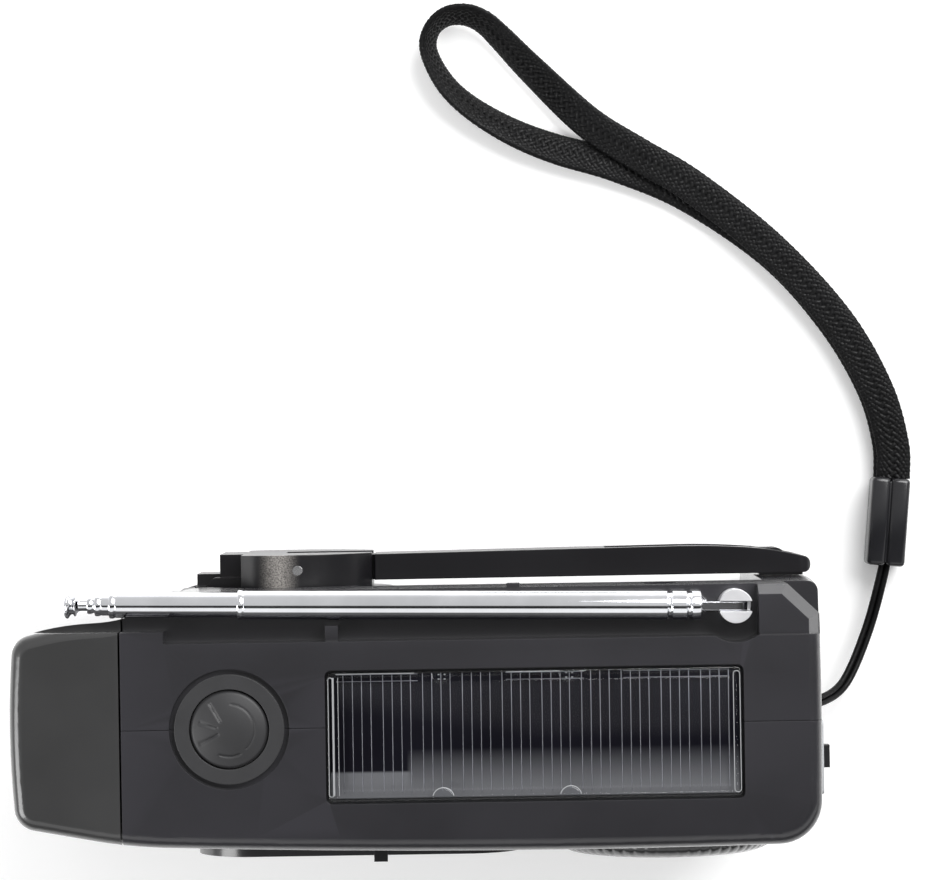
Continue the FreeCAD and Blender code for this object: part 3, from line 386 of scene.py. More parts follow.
# Painted highlight along the top of the crank drum, standing in for reflected light.
painted_crown_highlight(CRANK, -0.0212, 0.0036, 0.0435, (0.36, 0.34, 0.32))
GRIP = moulded_plastic("grip_plastic", (0.006, 0.006, 0.0066), 0.48, polish=0.3)
SLIDER = moulded_plastic("slider_plastic", (0.008, 0.008, 0.0088), 0.4, polish=0.3)
PALE = moulded_plastic("pale_plate", (0.34, 0.35, 0.36), 0.4, polish=0.1)
GEARS = moulded_plastic("gear_plastic", (0.66, 0.63, 0.55), 0.4, sharp_edges_lighter=False, polish=0.1)
BUTTON = soft_rubber("button_rubber", (0.014, 0.014, 0.0155))
COVER = soft_rubber("cover_rubber", (0.02, 0.02, 0.022))
CHROME = plated_metal("antenna_chrome", (0.86, 0.87, 0.9), 0.07, (1, 30, 30))
STEEL = plated_metal("steel", (0.62, 0.62, 0.63), 0.24)
SOCKET = plated_metal("part_metal", (0.6, 0.6, 0.6), 0.3)
MIRROR = plated_metal("reflector", (0.9, 0.9, 0.9), 0.04)
CLEAR = thin_clear("clear_cover", (0.94, 0.95, 0.96), 0.03, 0.55)
LENS = thin_clear("clear_lens", (0.97, 0.98, 1.0), 0.02)
CELLS = silicon_cells("solar_cell")
SILVER = plated_metal("cell_silver", (0.42, 0.42, 0.46), 0.4)
# Pale grey material for the painted highlights and glints on the solar lid's edges and tabs.
PAINTED_GLINTS = moulded_plastic("painted_glint_beads", (0.34, 0.35, 0.36), 0.5, sharp_edges_lighter=False, polish=0.3)
NICKEL = plated_metal("swivel_nickel", (0.84, 0.84, 0.86), 0.42)
YARN = braid_yarn("strap_braid", (0.0028, 0.0028, 0.0031))
GLOSS = glossy_plastic("clamp_plastic", (0.014, 0.014, 0.016))
WRAP = glossy_plastic("cell_wrap", (0.03, 0.12, 0.4), 0.25)
CAPACITOR = glossy_plastic("capacitor_case", (0.6, 0.58, 0.52), 0.3)
BOARD = circuit_board("circuit_board")
COPPER = copper_winding("copper_wire")
PAPER = paper_cone("speaker_paper")
FERRITE = glossy_plastic("ferrite", (0.03, 0.03, 0.032), 0.4)


def dress_nodes():
    """Gives every carried-over part the material of its record slot."""
    by_slot = {
        "case_plastic": CASE, "head_plastic": HEAD, "front_plastic": FRONT, "crank_plastic": CRANK,
        "grip_plastic": GRIP, "stem_plastic": GRIP, "slider_plastic": SLIDER, "pale_plate": PALE,
        "gear_plastic": GEARS, "plate_plastic": SLIDER, "button_rubber": BUTTON,
        "cover_rubber": COVER, "antenna_chrome": CHROME, "steel": STEEL, "part_metal": SOCKET,
        "reflector": MIRROR, "clear_cover": CLEAR, "clear_lens": LENS, "solar_cell": CELLS,
        "strap_braid": YARN, "clamp_plastic": GLOSS, "cell_wrap": WRAP,
        "capacitor_case": CAPACITOR, "circuit_board": BOARD, "copper_wire": COPPER,
        "speaker_paper": PAPER, "ferrite": FERRITE,
    }
    slots = {row["node"]: row["material_slot"] for row in frame["record"]["subparts"]}
    for name, obj in NODES.items():
        obj.data.materials.clear()
        obj.data.materials.append(NICKEL if name == "antenna_swivel" else by_slot[slots[name]])
        obj.data.shade_smooth()
        obj.data.set_sharp_from_angle(angle=math.radians(28))
        weighted = obj.modifiers.new("face_normals", "WEIGHTED_NORMAL")
        weighted.keep_sharp = True
        weighted.weight = 100


# ---- mesh helpers ---------------------------------------------------------------------------

def mesh_object(name, verts, faces, material, smooth_angle=40.0):
    """Linked object, smooth shaded except across edges sharper than the angle in degrees."""
    mesh = bpy.data.meshes.new(name)
    mesh.from_pydata([tuple(v) for v in verts], [], faces)
    mesh.materials.append(material)
    mesh.validate()
    obj = bpy.data.objects.new(name, mesh)
    bpy.context.scene.collection.objects.link(obj)
    mesh.shade_smooth()
    mesh.set_sharp_from_angle(angle=math.radians(smooth_angle))
    return obj


def finish_piece(obj, body, slot_name, *nodes):
    """Ties a piece to its body and hides the nodes it stands for; slot_name is not used."""
    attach(obj, body)
    if nodes:
        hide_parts(*nodes)
    return obj


def ring_faces(rows, size, closed=False):
    """Quads between neighbouring rings of points; closed also joins the last to the first."""
    faces = []
    for i in range(rows if closed else rows - 1):
        after = (i + 1) % rows
        for k in range(size):
            n = (k + 1) % size
            faces.append((i * size + k, i * size + n, after * size + n, after * size + k))
    return faces


def capped_faces(rows, size):
    """Quads between rings, with a flat end at both ends."""
    last = (rows - 1) * size
    ends = [tuple(range(size - 1, -1, -1)), tuple(last + k for k in range(size))]
    return ring_faces(rows, size) + ends


def oval_ring(half_side, half_up, steps):
    """Closed ring of (side, up) offsets."""
    ring = []
    for k in range(steps):
        turn = 2 * math.pi * k / steps
        ring.append((half_side * math.cos(turn), half_up * math.sin(turn)))
    return ring


def lathe(profile, origin, axis, side, steps=72, closed=False):
    """Turns (along, radius) points about an axis; returns vertices and faces."""
    axis = Vector(axis).normalized()
    side = Vector(side).normalized()
    third = axis.cross(side)
    verts = []
    for along, radius in profile:
        for k in range(steps):
            turn = 2 * math.pi * k / steps
            ring = side * math.cos(turn) + third * math.sin(turn)
            verts.append(Vector(origin) + axis * along + ring * max(radius, 1e-6))
    return verts, ring_faces(len(profile), steps, closed)


def merge(parts):
    """Joins several (vertices, faces) lists into one."""
    verts = []
    faces = []
    for some_verts, some_faces in parts:
        base = len(verts)
        verts += list(some_verts)
        faces += [tuple(i + base for i in face) for face in some_faces]
    return verts, faces


def rounded_bar(x0, x1, y0, y1, z0, z1, edge):
    """Box whose twelve edges are rounded, as vertices and faces."""
    bm = bmesh.new()
    bmesh.ops.create_cube(bm, size=1)
    for v in bm.verts:
        v.co = Vector(((x0 + x1) / 2 + v.co.x * (x1 - x0), (y0 + y1) / 2 + v.co.y * (y1 - y0),
                       (z0 + z1) / 2 + v.co.z * (z1 - z0)))
    bmesh.ops.bevel(bm, geom=bm.edges[:], offset=edge, segments=3, profile=0.5, affect="EDGES")
    verts = [v.co.copy() for v in bm.verts]
    index = {v: i for i, v in enumerate(bm.verts)}
    faces = [tuple(index[v] for v in f.verts) for f in bm.faces]
    bm.free()
    return verts, faces


def smooth_path(points, spacing):
    """Evenly spaced points on a smooth curve through the given ones (Catmull-Rom)."""
    pts = [Vector(p) for p in points]
    pts = [pts[0] * 2 - pts[1]] + pts + [pts[-1] * 2 - pts[-2]]
    dense = []
    for i in range(1, len(pts) - 2):
        a, b, c, d = pts[i - 1:i + 3]
        for k in range(24):
            t = k / 24
            dense.append(0.5 * ((2 * b) + (c - a) * t + (2 * a - 5 * b + 4 * c - d) * t * t
                                + (3 * b - a - 3 * c + d) * t ** 3))
    dense.append(pts[-2])
    length = [0.0]
    for a, b in zip(dense, dense[1:]):
        length.append(length[-1] + (b - a).length)
    count = max(2, int(length[-1] / spacing))
    even = []
    j = 0
    for k in range(count + 1):
        want = length[-1] * k / count
        while j < len(length) - 2 and length[j + 1] < want:
            j += 1
        span = length[j + 1] - length[j]
        even.append(dense[j].lerp(dense[j + 1], (want - length[j]) / span if span else 0))
    return even


def swept(points, ring):
    """Sweeps a small ring of (side, up) offsets along points, held upright by the Z axis."""
    verts = []
    for i, p in enumerate(points):
        ahead = points[min(i + 1, len(points) - 1)] - points[max(i - 1, 0)]
        ahead.normalize()
        side = Vector((0, 0, 1)).cross(ahead)
        if side.length < 1e-4:
            side = Vector((1, 0, 0))
        side.normalize()
        up = ahead.cross(side)
        verts += [p + side * a + up * b for a, b in ring]
    return verts, capped_faces(len(points), len(ring))


# ---- antenna --------------------------------------------------------------------------------

def antenna_lathe(name, body, profile, cad_node, extra=None):
    """Turns (x, radius) points in millimetres about the antenna's own axis."""
    origin = PIVOT - ANTENNA_AXIS * PIVOT.x
    points = [(x * MM, r * MM) for x, r in profile]
    parts = [lathe(points, origin, ANTENNA_AXIS, ANTENNA_SIDE)]
    if extra:
        parts += extra
    verts, faces = merge(parts)
    obj = mesh_object(name, verts, faces, CHROME, 35)
    return finish_piece(obj, body, "antenna_chrome", cad_node)


def lip(x, radius, inner):
    """Rolled-in mouth of a tube at its free end, from the bore out to the full radius."""
    return [(x + 3.0, inner), (x + 0.06, inner + 0.02), (x, radius - 0.2), (x + 0.06, radius + 0.02),
            (x + 0.22, radius + 0.1), (x + 0.6, radius + 0.1), (x + 0.85, radius + 0.02),
            (x + 1.0, radius - 0.06), (x + 1.15, radius)]


def crimp(x, radius):
    """Round groove pressed into a tube."""
    points = []
    for k in range(9):
        turn = math.pi * k / 8
        points.append((x - 0.42 * math.cos(turn), radius - 0.3 * math.sin(turn)))
    return points


def build_antenna():
    """Root tube with its tongue, three tubes inside one another, and the end rod."""
    radii = (2.25, 1.95, 1.6, 1.25)
    free_ends = (-27.0, -46.7, -48.9, -50.1)
    right = 44.1
    wall = 0.25
    profile = lip(free_ends[0], radii[0], radii[0] - wall)
    profile += crimp(right - 4.75, radii[0]) + crimp(right - 1.75, radii[0])
    profile += [(right - 0.2, radii[0]), (right, radii[0] - 0.08), (right + 0.2, radii[0] - 0.45),
                (right + 0.6, 1.25), (right + 0.9, 1.0), (right + 0.9, 0.0)]
    antenna_lathe("antenna_root_tube", "antenna_root", profile, "antenna_root", [tang(right)])
    for n in (1, 2, 3):
        end = right - 3.2 - 2.0 * n
        profile = lip(free_ends[n], radii[n], radii[n] - wall) + [(end, radii[n])]
        profile.append((end, radii[n] - wall))
        antenna_lathe(f"antenna_tube_{n}", f"antenna_section_{n}", profile, f"antenna_section_{n}")
    build_antenna_tip(right)


def build_antenna_tip(right):
    """Thinnest rod with a spool-shaped knob: two flares and a waist."""
    start = -53.7
    knob = [(start, 0.0), (start, 1.35), (start + 0.12, 1.7), (start + 0.4, 2.02), (start + 0.62, 2.1),
            (start + 0.8, 2.0), (start + 1.05, 1.6), (start + 1.3, 1.42), (start + 1.5, 1.5),
            (start + 1.72, 1.72), (start + 1.9, 1.7), (start + 2.1, 1.3), (start + 2.3, 1.0),
            (start + 2.6, 0.9), (right - 11.2, 0.9), (right - 11.2, 0.0)]
    antenna_lathe("antenna_tip_rod", "antenna_tip", knob, "antenna_tip")


def tang(right):
    """Flat tongue that enters the slotted base, with a round eye at the cross pin."""
    half = 0.72 * MM
    eye = 1.9 * MM
    root = (right - 0.3) * MM
    soft = 0.12 * MM
    outline = [(root, eye)]
    for k in range(17):
        turn = math.pi / 2 - math.pi * k / 16
        outline.append((PIVOT.x + eye * math.cos(turn), eye * math.sin(turn)))
    outline.append((root, -eye))
    origin = PIVOT - ANTENNA_AXIS * PIVOT.x
    verts = []
    for offset, inset in ((-half, soft), (-half + soft, 0), (half - soft, 0), (half, soft)):
        for x, z in outline:
            x = x - inset if x > PIVOT.x else x
            z = z - math.copysign(inset, z)
            verts.append(origin + ANTENNA_AXIS * x + ANTENNA_SIDE * offset + Vector((0, 0, z)))
    return verts, capped_faces(4, len(outline))


# ---- torch button ---------------------------------------------------------------------------

# Each ray runs between two (x, y) points, in millimetres from the button's centre.
BUTTON_RAYS = (((-2.9, 4.0), (-1.3, 1.3)), ((-4.4, 1.1), (-1.9, 0.3)), ((-4.4, -2.1), (-1.7, -0.7)))


def groove(distance, half_width, depth):
    """Depth of a soft V groove at some distance from its centre line."""
    return depth * max(0.0, 1 - distance / half_width)


def button_height(x, y, radius):
    """Dome with a sunk half-sun mark: three rays on the left and an open ring on the right."""
    r = math.hypot(x, y)
    rise = 0.95 * (1 - (r / radius) ** 2)
    if r > radius - 0.5:
        rise -= 0.5 * ((r - radius + 0.5) / 0.5) ** 2
    for (ax, ay), (bx, by) in BUTTON_RAYS:
        span = math.hypot(bx - ax, by - ay)
        along = ((x - ax) * (bx - ax) + (y - ay) * (by - ay)) / span ** 2
        along = min(1.0, max(0.0, along))
        rise -= groove(math.hypot(x - ax - along * (bx - ax), y - ay - along * (by - ay)), 0.28, 0.22)
    turn = math.degrees(math.atan2(y, x))
    if -48 < turn < 86:
        rise -= groove(abs(r - 3.9), 0.22, 0.12)
    if -113 < turn < -66:
        rise -= groove(abs(r - 4.1), 0.3, 0.2)
    return rise


def build_button():
    """Domed button with its sunk mark, down to the bottom of its skirt."""
    low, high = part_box("torch_button")
    centre = (low + high) / 2
    radius = (high.x - low.x) / MM / 2
    base = high.z / MM - 1.0
    verts = []
    rings = 60
    steps = 120
    for i in range(rings + 1):
        r = radius * i / rings
        for k in range(steps):
            turn = 2 * math.pi * k / steps
            x = r * math.cos(turn)
            y = r * math.sin(turn)
            z = base + button_height(x, y, radius)
            verts.append(Vector((centre.x + x * MM, centre.y + y * MM, z * MM)))
    for k in range(steps):
        turn = 2 * math.pi * k / steps
        verts.append(Vector((centre.x + radius * MM * math.cos(turn),
                             centre.y + radius * MM * math.sin(turn), low.z)))
    faces = ring_faces(rings + 2, steps)
    faces.append(tuple((rings + 1) * steps + k for k in range(steps)))
    obj = mesh_object("torch_button_dome", verts, faces, BUTTON, 50)
    finish_piece(obj, "torch_button", "button_rubber", "torch_button")


# ---- solar window ---------------------------------------------------------------------------

FINGER_START = -0.0110
FINGER_GROUP = 0.00609
FINGER_PITCH = 0.00141
FINGER_WIDE = 0.00012
BUS_LINES = ((-0.012, 0.0005), (0.014, 0.026), (0.032, 0.048))
TAB_X = (0.0042, 0.0237)


def build_solar():
    """Cell plate under the whole window, fine silver fingers in groups of four, broken bus lines."""
    low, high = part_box("solar_cells")
    pane_low, pane_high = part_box("solar_cover")
    x0, y0 = pane_low.x + 0.0004, pane_low.y + 0.0004
    x1, y1 = pane_high.x - 0.0004, pane_high.y - 0.0004
    obj = mesh_object("solar_panel", *rounded_bar(x0, x1, y0, y1, low.z, high.z, 0.0002), CELLS)
    finish_piece(obj, "case", "solar_cell", "solar_cells")
    z = high.z
    fingers = []
    for g in range(10):
        for n in range(4):
            x = FINGER_START + FINGER_GROUP * g + FINGER_PITCH * n
            fingers.append(rounded_bar(x, x + FINGER_WIDE, y0 + 0.001, y1, z - 0.00002, z + 0.00004,
                                       0.00001))
    for start, end in BUS_LINES:
        for y in (y1 - 0.0002, y1 - 0.00125):
            fingers.append(rounded_bar(start, end, y, y + FINGER_WIDE, z - 0.00002, z + 0.00003,
                                       0.00001))
    obj = mesh_object("solar_fingers", *merge(fingers), SILVER)
    finish_piece(obj, "case", "solar_cell")
    build_cover()


def rounded_loop(x0, x1, y0, y1, z, radius, steps=8):
    """Level rectangle of points with round corners."""
    loop = []
    for cx, cy, first in ((x1 - radius, y1 - radius, 0), (x0 + radius, y1 - radius, 90),
                          (x0 + radius, y0 + radius, 180), (x1 - radius, y0 + radius, 270)):
        for k in range(steps + 1):
            turn = math.radians(first + 90 * k / steps)
            loop.append(Vector((cx + radius * math.cos(turn), cy + radius * math.sin(turn), z)))
    return loop


def build_cover():
    """Clear lid: rounded outer rim, a moat, a raised middle pane, and the half-round tabs."""
    low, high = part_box("solar_cover")
    x0, x1, y0, y1 = low.x, high.x, low.y, high.y
    top = TOP - 0.0003
    steps = [(0.0, -0.0024, 0.0009), (0.0, -0.0004, 0.0009), (0.0001, -0.00012, 0.0009),
             (0.0003, 0.0, 0.0008), (0.0007, 0.0, 0.0007), (0.0009, -0.0001, 0.0006),
             (0.00105, -0.0005, 0.0005), (0.0015, -0.0005, 0.0005), (0.00165, -0.0001, 0.0005),
             (0.0019, 0.0, 0.0005)]
    verts = []
    for inset, drop, radius in steps:
        verts += rounded_loop(x0 + inset, x1 - inset, y0 + inset, y1 - inset, top + drop, radius)
    size = len(verts) // len(steps)
    faces = ring_faces(len(steps), size)
    faces.append(tuple((len(steps) - 1) * size + k for k in range(size)))
    parts = [(verts, faces)]
    for x in TAB_X:
        for y, facing in ((y0 + 0.0004, 1), (y1 - 0.0004, -1)):
            parts.append(half_tab(x, y, facing, top + 0.00003))
    obj = mesh_object("solar_window", *merge(parts), CLEAR, 30)
    finish_piece(obj, "case", "clear_cover", "solar_cover")
    # Painted highlights: pale beads along the lid's edges and round its tabs.
    build_painted_glints(x0, x1, y0, y1, top)


def build_painted_glints(x0, x1, y0, y1, top):
    """Pale beads on the lid as painted highlights: upright lines at both ends, a broken top line, tab
    arcs.
    """
    z0 = top - 0.0005
    z1 = top + 0.00002
    soft = 0.00005
    parts = [long_loop(x0 + 0.00058, 0.00034, y0 + 0.0012, y1 - 0.0012, top)]
    for inset, wide in ((0.00082, 0.0003), (0.0017, 0.0001)):
        parts.append(rounded_bar(x0 + inset, x0 + inset + wide, y0 + 0.001, y1 - 0.0009, z0, z1,
                                 soft))
    parts.append(long_loop(x1 - 0.00085, 0.0005, y0 + 0.0012, y1 - 0.0012, top))
    for start, end in ((x0 + 0.0014, 0.0), (0.0140, 0.0222), (0.0252, 0.0262)):
        parts.append(rounded_bar(start, end, y1 - 0.0004, y1 - 0.00029, z0, z1, soft))
    for x in TAB_X:
        parts.append(tab_arc(x, y0 + 0.0004, 1, top + 0.0001))
        for y in (y1 - 0.0007, y1 - 0.0014):
            for side in (-0.00062, 0.0003):
                parts.append(rounded_bar(x + side, x + side + 0.0003, y, y + 0.00018, z0, z1, soft))
    obj = mesh_object("solar_window_painted_glints", *merge(parts), PAINTED_GLINTS, 30)
    finish_piece(obj, "case", "clear_cover")


def long_loop(x, radius, y0, y1, z):
    """Narrow stadium-shaped pale bead standing upright about one x, a painted highlight."""
    points = []
    for cy, first in ((y1, 0), (y0, 180)):
        for k in range(9):
            turn = math.radians(first + 180 * k / 8)
            points.append(Vector((x + radius * math.cos(turn), cy + radius * math.sin(turn), z)))
    points.append(points[0])
    bead = 0.00007
    return swept(points, oval_ring(bead, bead, 8))


def tab_arc(x, y, facing, z):
    """Thin pale bead round a half-round tab, a painted glint."""
    radius = 0.00165
    points = []
    for k in range(17):
        turn = math.pi * (0.08 + 0.84 * k / 16)
        points.append(Vector((x + radius * math.cos(turn), y + facing * radius * math.sin(turn), z)))
    bead = 0.00009
    return swept(points, oval_ring(bead, bead, 8))


def half_tab(x, y, facing, z):
    """Low half-round snap tab lying on the window edge."""
    verts = []
    faces = []
    rings = ((0.0017, -0.0001), (0.0016, 0.00012), (0.0013, 0.00026), (0.0, 0.0003))
    steps = 16
    for radius, rise in rings:
        for k in range(steps + 1):
            turn = math.pi * k / steps
            verts.append(Vector((x + radius * math.cos(turn),
                                 y + facing * radius * math.sin(turn), z + rise)))
    for i in range(len(rings) - 1):
        for k in range(steps):
            a = i * (steps + 1) + k
            b = a + steps + 1
            faces.append((a, a + 1, b + 1, b))
    return verts, faces


# ---- torch end ------------------------------------------------------------------------------

def build_lamp():
    """Domed lens with fine rings, and the polished bowl behind it."""
    low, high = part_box("lamp_lens")
    centre_z = (low.z + high.z) / 2
    origin = (0, 0, centre_z)
    outer = high.x / MM
    front = low.x / MM
    profile = [(outer, 0.0), (outer, 12.95), (outer - 0.9, 13.0), (outer - 1.2, 12.8),
               (outer - 1.35, 11.7)]
    rings = 9
    for k in range(rings):
        r = 11.4 - 10.8 * k / (rings - 1)
        bulge = (front - outer + 1.45) * (1 - (r / 11.6) ** 2)
        profile += [(outer - 1.4 + bulge, r + 0.25), (outer - 1.5 + bulge, r)]
    profile.append((front, 0.0))
    verts, faces = lathe([(x * MM, r * MM) for x, r in profile], origin, (1, 0, 0), (0, 1, 0), 96)
    obj = mesh_object("torch_lens", verts, faces, LENS, 40)
    finish_piece(obj, "case", "clear_lens", "lamp_lens")
    low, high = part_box("lamp_reflector")
    bowl = []
    steps = 28
    for k in range(steps + 1):
        t = k / steps
        r = 12.2 + (2.6 - 12.2) * t
        bowl.append((high.x / MM - 0.9 - 8.7 * ((r - 2.6) / 9.6) ** 2 + 0.05, r))
    back = [(x + 0.45, r + 0.35) for x, r in reversed(bowl)]
    profile = [(low.x / MM, 12.9)] + bowl + [(high.x / MM - 0.05, 2.65)] + back
    verts, faces = lathe([(x * MM, r * MM) for x, r in profile], origin, (1, 0, 0), (0, 1, 0), 96,
                         True)
    obj = mesh_object("torch_reflector", verts, faces, MIRROR, 40)
    finish_piece(obj, "case", "reflector", "lamp_reflector")


# ---- front ----------------------------------------------------------------------------------

def dish_depth(reach):
    """Depth of the dial's shallow dish, 1 in the middle and 0 at its edge."""
    return 0.5 + 0.5 * math.cos(math.pi * max(0.0, (reach - 0.4) / 0.6))


def build_dial():
    """Tuning dial: fluted rim, bevelled face, shallow dish and finger dimple, shaft."""
    low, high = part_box("tuning_dial")
    centre_x = (low.x + high.x) / 2
    centre_z = (low.z + high.z) / 2
    radius = (high.x - low.x) / MM / 2
    face_y = low.y / MM
    back = -18.35 - face_y
    dish_edge = 0.86 * radius
    dish_rings = 28
    shaft = 3.0
    shaft_end = high.y / MM - face_y
    dimple_up = 10.5
    dimple_radius = 4.0
    flutes = 60
    profile = []
    for k in range(dish_rings + 1):
        profile.append((0.45 * dish_depth(k / dish_rings), dish_edge * k / dish_rings))
    profile += [(0.05, 0.9 * radius), (0.5, 0.955 * radius), (1.1, 0.99 * radius), (1.5, radius),
                (back - 0.3, radius), (back, 0.985 * radius), (back, shaft), (shaft_end, shaft),
                (shaft_end, 0.0)]
    steps = 360
    verts = []
    faces = []
    for along, r in profile:
        for k in range(steps):
            turn = 2 * math.pi * k / steps
            depth = 0.0
            if r > 0.95 * radius:
                depth = 0.22 * max(0.0, math.sin(flutes * turn)) ** 2
            x = (r - depth) * math.cos(turn)
            z = (r - depth) * math.sin(turn)
            y = face_y + along
            dimple = math.hypot(x, z - dimple_up)
            if r < dish_edge and dimple < dimple_radius and along < 1.0:
                y += 0.9 * (1 - (dimple / dimple_radius) ** 2)
            verts.append(Vector((centre_x + x * MM, y * MM, centre_z + z * MM)))
    for i in range(len(profile) - 1):
        for k in range(steps):
            n = (k + 1) % steps
            faces.append((i * steps + k, (i + 1) * steps + k, (i + 1) * steps + n, i * steps + n))
    obj = mesh_object("tuning_dial_fluted", verts, faces, FRONT, 40)
    finish_piece(obj, "tuning_dial", "front_plastic", "tuning_dial")


# ---- crank grip -----------------------------------------------------------------------------

def build_grip():
    """Grip with rounded ends and soft finger grooves."""
    low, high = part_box("crank_grip")
    axis_y = (low.y + high.y) / 2
    axis_z = (low.z + high.z) / 2
    radius = (high.y - low.y) / MM / 2
    start = low.x / MM
    end = high.x / MM
    profile = [(start, 1.2), (start, radius - 0.5), (start + 0.15, radius - 0.15),
               (start + 0.5, radius)]
    for n in range(4):
        middle = start + 3.6 + 4.6 * n
        for k in range(9):
            turn = math.pi * k / 8
            profile.append((middle - 0.9 * math.cos(turn), radius - 0.25 * math.sin(turn)))
    profile += [(end - 0.5, radius), (end - 0.15, radius - 0.15), (end, radius - 0.5), (end, 1.2)]
    points = [(x * MM, r * MM) for x, r in profile]
    verts, faces = lathe(points, (0, axis_y, axis_z), (1, 0, 0), (0, 1, 0), 64)
    obj = mesh_object("crank_grip_turned", verts, faces, GRIP, 40)
    finish_piece(obj, "crank_grip", "grip_plastic", "crank_grip")


# ---- strap ----------------------------------------------------------------------------------

# Strap centreline in millimetres with the roll of the band, degrees, where it stands on edge.
STRAP_RUN = [
    (80.2, 36.0, 0.95, 0), (80.0, 42.5, 0.95, 0), (77.5, 51.5, 0.95, 0), (71.3, 62.5, 0.95, 0),
    (61.3, 74.1, 0.95, 0), (47.0, 84.3, 0.95, 0), (34.9, 89.6, 0.95, 0), (24.7, 92.6, 0.95, 0),
    (17.3, 95.6, 1.1, 0), (10.6, 99.6, 1.4, 8), (6.1, 103.8, 1.9, 20), (3.3, 109.2, 2.3, 38),
    (3.7, 112.8, 2.6, 50), (6.2, 115.1, 2.8, 64), (9.6, 115.4, 2.8, 66), (12.6, 114.1, 2.6, 42),
    (15.4, 111.5, 2.3, 12), (20.6, 106.0, 2.2, 0), (29.9, 97.0, 2.3, 0), (38.4, 91.4, 2.5, 0),
    (47.2, 86.0, 2.5, 0), (60.2, 75.4, 2.5, 0), (71.3, 63.0, 2.5, 0), (77.8, 51.4, 2.5, 0),
    (80.4, 42.0, 2.5, 0), (80.5, 36.0, 2.5, 0)]


def strap_frames(spacing):
    """Evenly spaced (point, across, above) along the strap, rolled where it stands on edge."""
    points = smooth_path([(x * MM, y * MM, z * MM) for x, y, z, roll in STRAP_RUN], spacing)
    rolls = smooth_path([(x * MM, y * MM, roll * MM) for x, y, z, roll in STRAP_RUN], spacing)
    frames = []
    for i, p in enumerate(points):
        ahead = points[min(i + 1, len(points) - 1)] - points[max(i - 1, 0)]
        across = Vector((0, 0, 1)).cross(ahead)
        across.normalize()
        above = ahead.normalized().cross(across)
        j = min(len(rolls) - 1, round(i * (len(rolls) - 1) / (len(points) - 1)))
        roll = math.radians(rolls[j].z / MM)
        frames.append((p, across * math.cos(roll) + above * math.sin(roll),
                       above * math.cos(roll) - across * math.sin(roll)))
    return frames


def build_webbing():
    """Flattened tubular braid: two sets of yarns spiral opposite ways, over one, under one."""
    spacing = 0.00036
    frames = strap_frames(spacing)
    half_width = 2.62
    half_thick = 0.5
    carriers = 16
    lay = 19.0
    weave = 0.1
    yarn_half_width = 0.36
    yarn_half_thick = 0.13
    parts = [band_core(frames, flat_oval(half_width - 0.14, half_thick - 0.12, 24))]
    for direction in (1, -1):
        for n in range(carriers):
            strand = []
            for i, (p, across, above) in enumerate(frames):
                run = i * spacing / MM
                turn = direction * 2 * math.pi * run / lay + 2 * math.pi * n / carriers
                out = direction * weave * math.cos(carriers * 2 * math.pi * run / lay)
                side, up, normal = oval_point(turn, half_width, half_thick, out)
                centre = p + (across * side + above * up) * MM
                strand.append((centre, across * normal.x + above * normal.y))
            parts.append(yarn(strand, yarn_half_width, yarn_half_thick))
    obj = mesh_object("strap_braid_webbing", *merge(parts), YARN, 60)
    finish_piece(obj, "strap", "strap_braid", "strap_webbing")


def band_core(frames, ring):
    """Dark inner body of the braid, seen only between the yarns."""
    verts = []
    for p, across, above in frames:
        verts += [p + (across * a + above * b) * MM for a, b in ring]
    return verts, capped_faces(len(frames), len(ring))


def flat_oval(half_width, half_thick, steps):
    """Closed ring of (side, up) offsets on the band's flattened outline."""
    return [oval_point(2 * math.pi * k / steps, half_width, half_thick, 0)[:2] for k in range(steps)]


def oval_point(turn, half_width, half_thick, out):
    """Point and outward direction on a flattened oval."""
    c = math.cos(turn)
    s = math.sin(turn)
    side = half_width * math.copysign(abs(c) ** 0.75, c)
    up = half_thick * math.copysign(abs(s) ** 0.75, s)
    normal = Vector((c / half_width, s / half_thick))
    normal.normalize()
    return side + normal.x * out, up + normal.y * out, normal


def yarn(strand, half_width, half_thick):
    """One flat yarn through (centre, outward) pairs."""
    verts = []
    ring = [(-1, 0), (-0.6, 0.8), (0, 1), (0.6, 0.8), (1, 0), (0, -0.8)]
    for i, (centre, outward) in enumerate(strand):
        ahead = strand[min(i + 1, len(strand) - 1)][0] - strand[max(i - 1, 0)][0]
        side = outward.cross(ahead)
        side.normalize()
        for a, b in ring:
            verts.append(centre + (side * a * half_width + outward * b * half_thick) * MM)
    return verts, ring_faces(len(strand), len(ring))


# Cord centreline in millimetres, from the post to the clamp.
CORD_RUN = [(63.35, 0.0, 14.0), (66.6, -0.6, 11.5), (71.4, 2.0, 6.0), (75.6, 10.5, 3.4),
            (78.4, 20.0, 3.0), (78.9, 23.4, 3.0)]


def build_cord():
    """Two thin cords side by side with an eye round the post."""
    path = smooth_path([(x * MM, y * MM, z * MM) for x, y, z in CORD_RUN], 0.0003)
    parts = []
    for offset in (-0.5, 0.5):
        points = []
        for i, p in enumerate(path):
            ahead = path[min(i + 1, len(path) - 1)] - path[max(i - 1, 0)]
            side = Vector((0, 0, 1)).cross(ahead)
            side.normalize()
            points.append(p + side * offset * MM)
        parts.append(swept(points, oval_ring(0.5 * MM, 0.55 * MM, 14)))
    parts.append(cord_eye())
    obj = mesh_object("strap_twin_cord", *merge(parts), YARN, 60)
    finish_piece(obj, "strap", "strap_braid", "strap_cord")


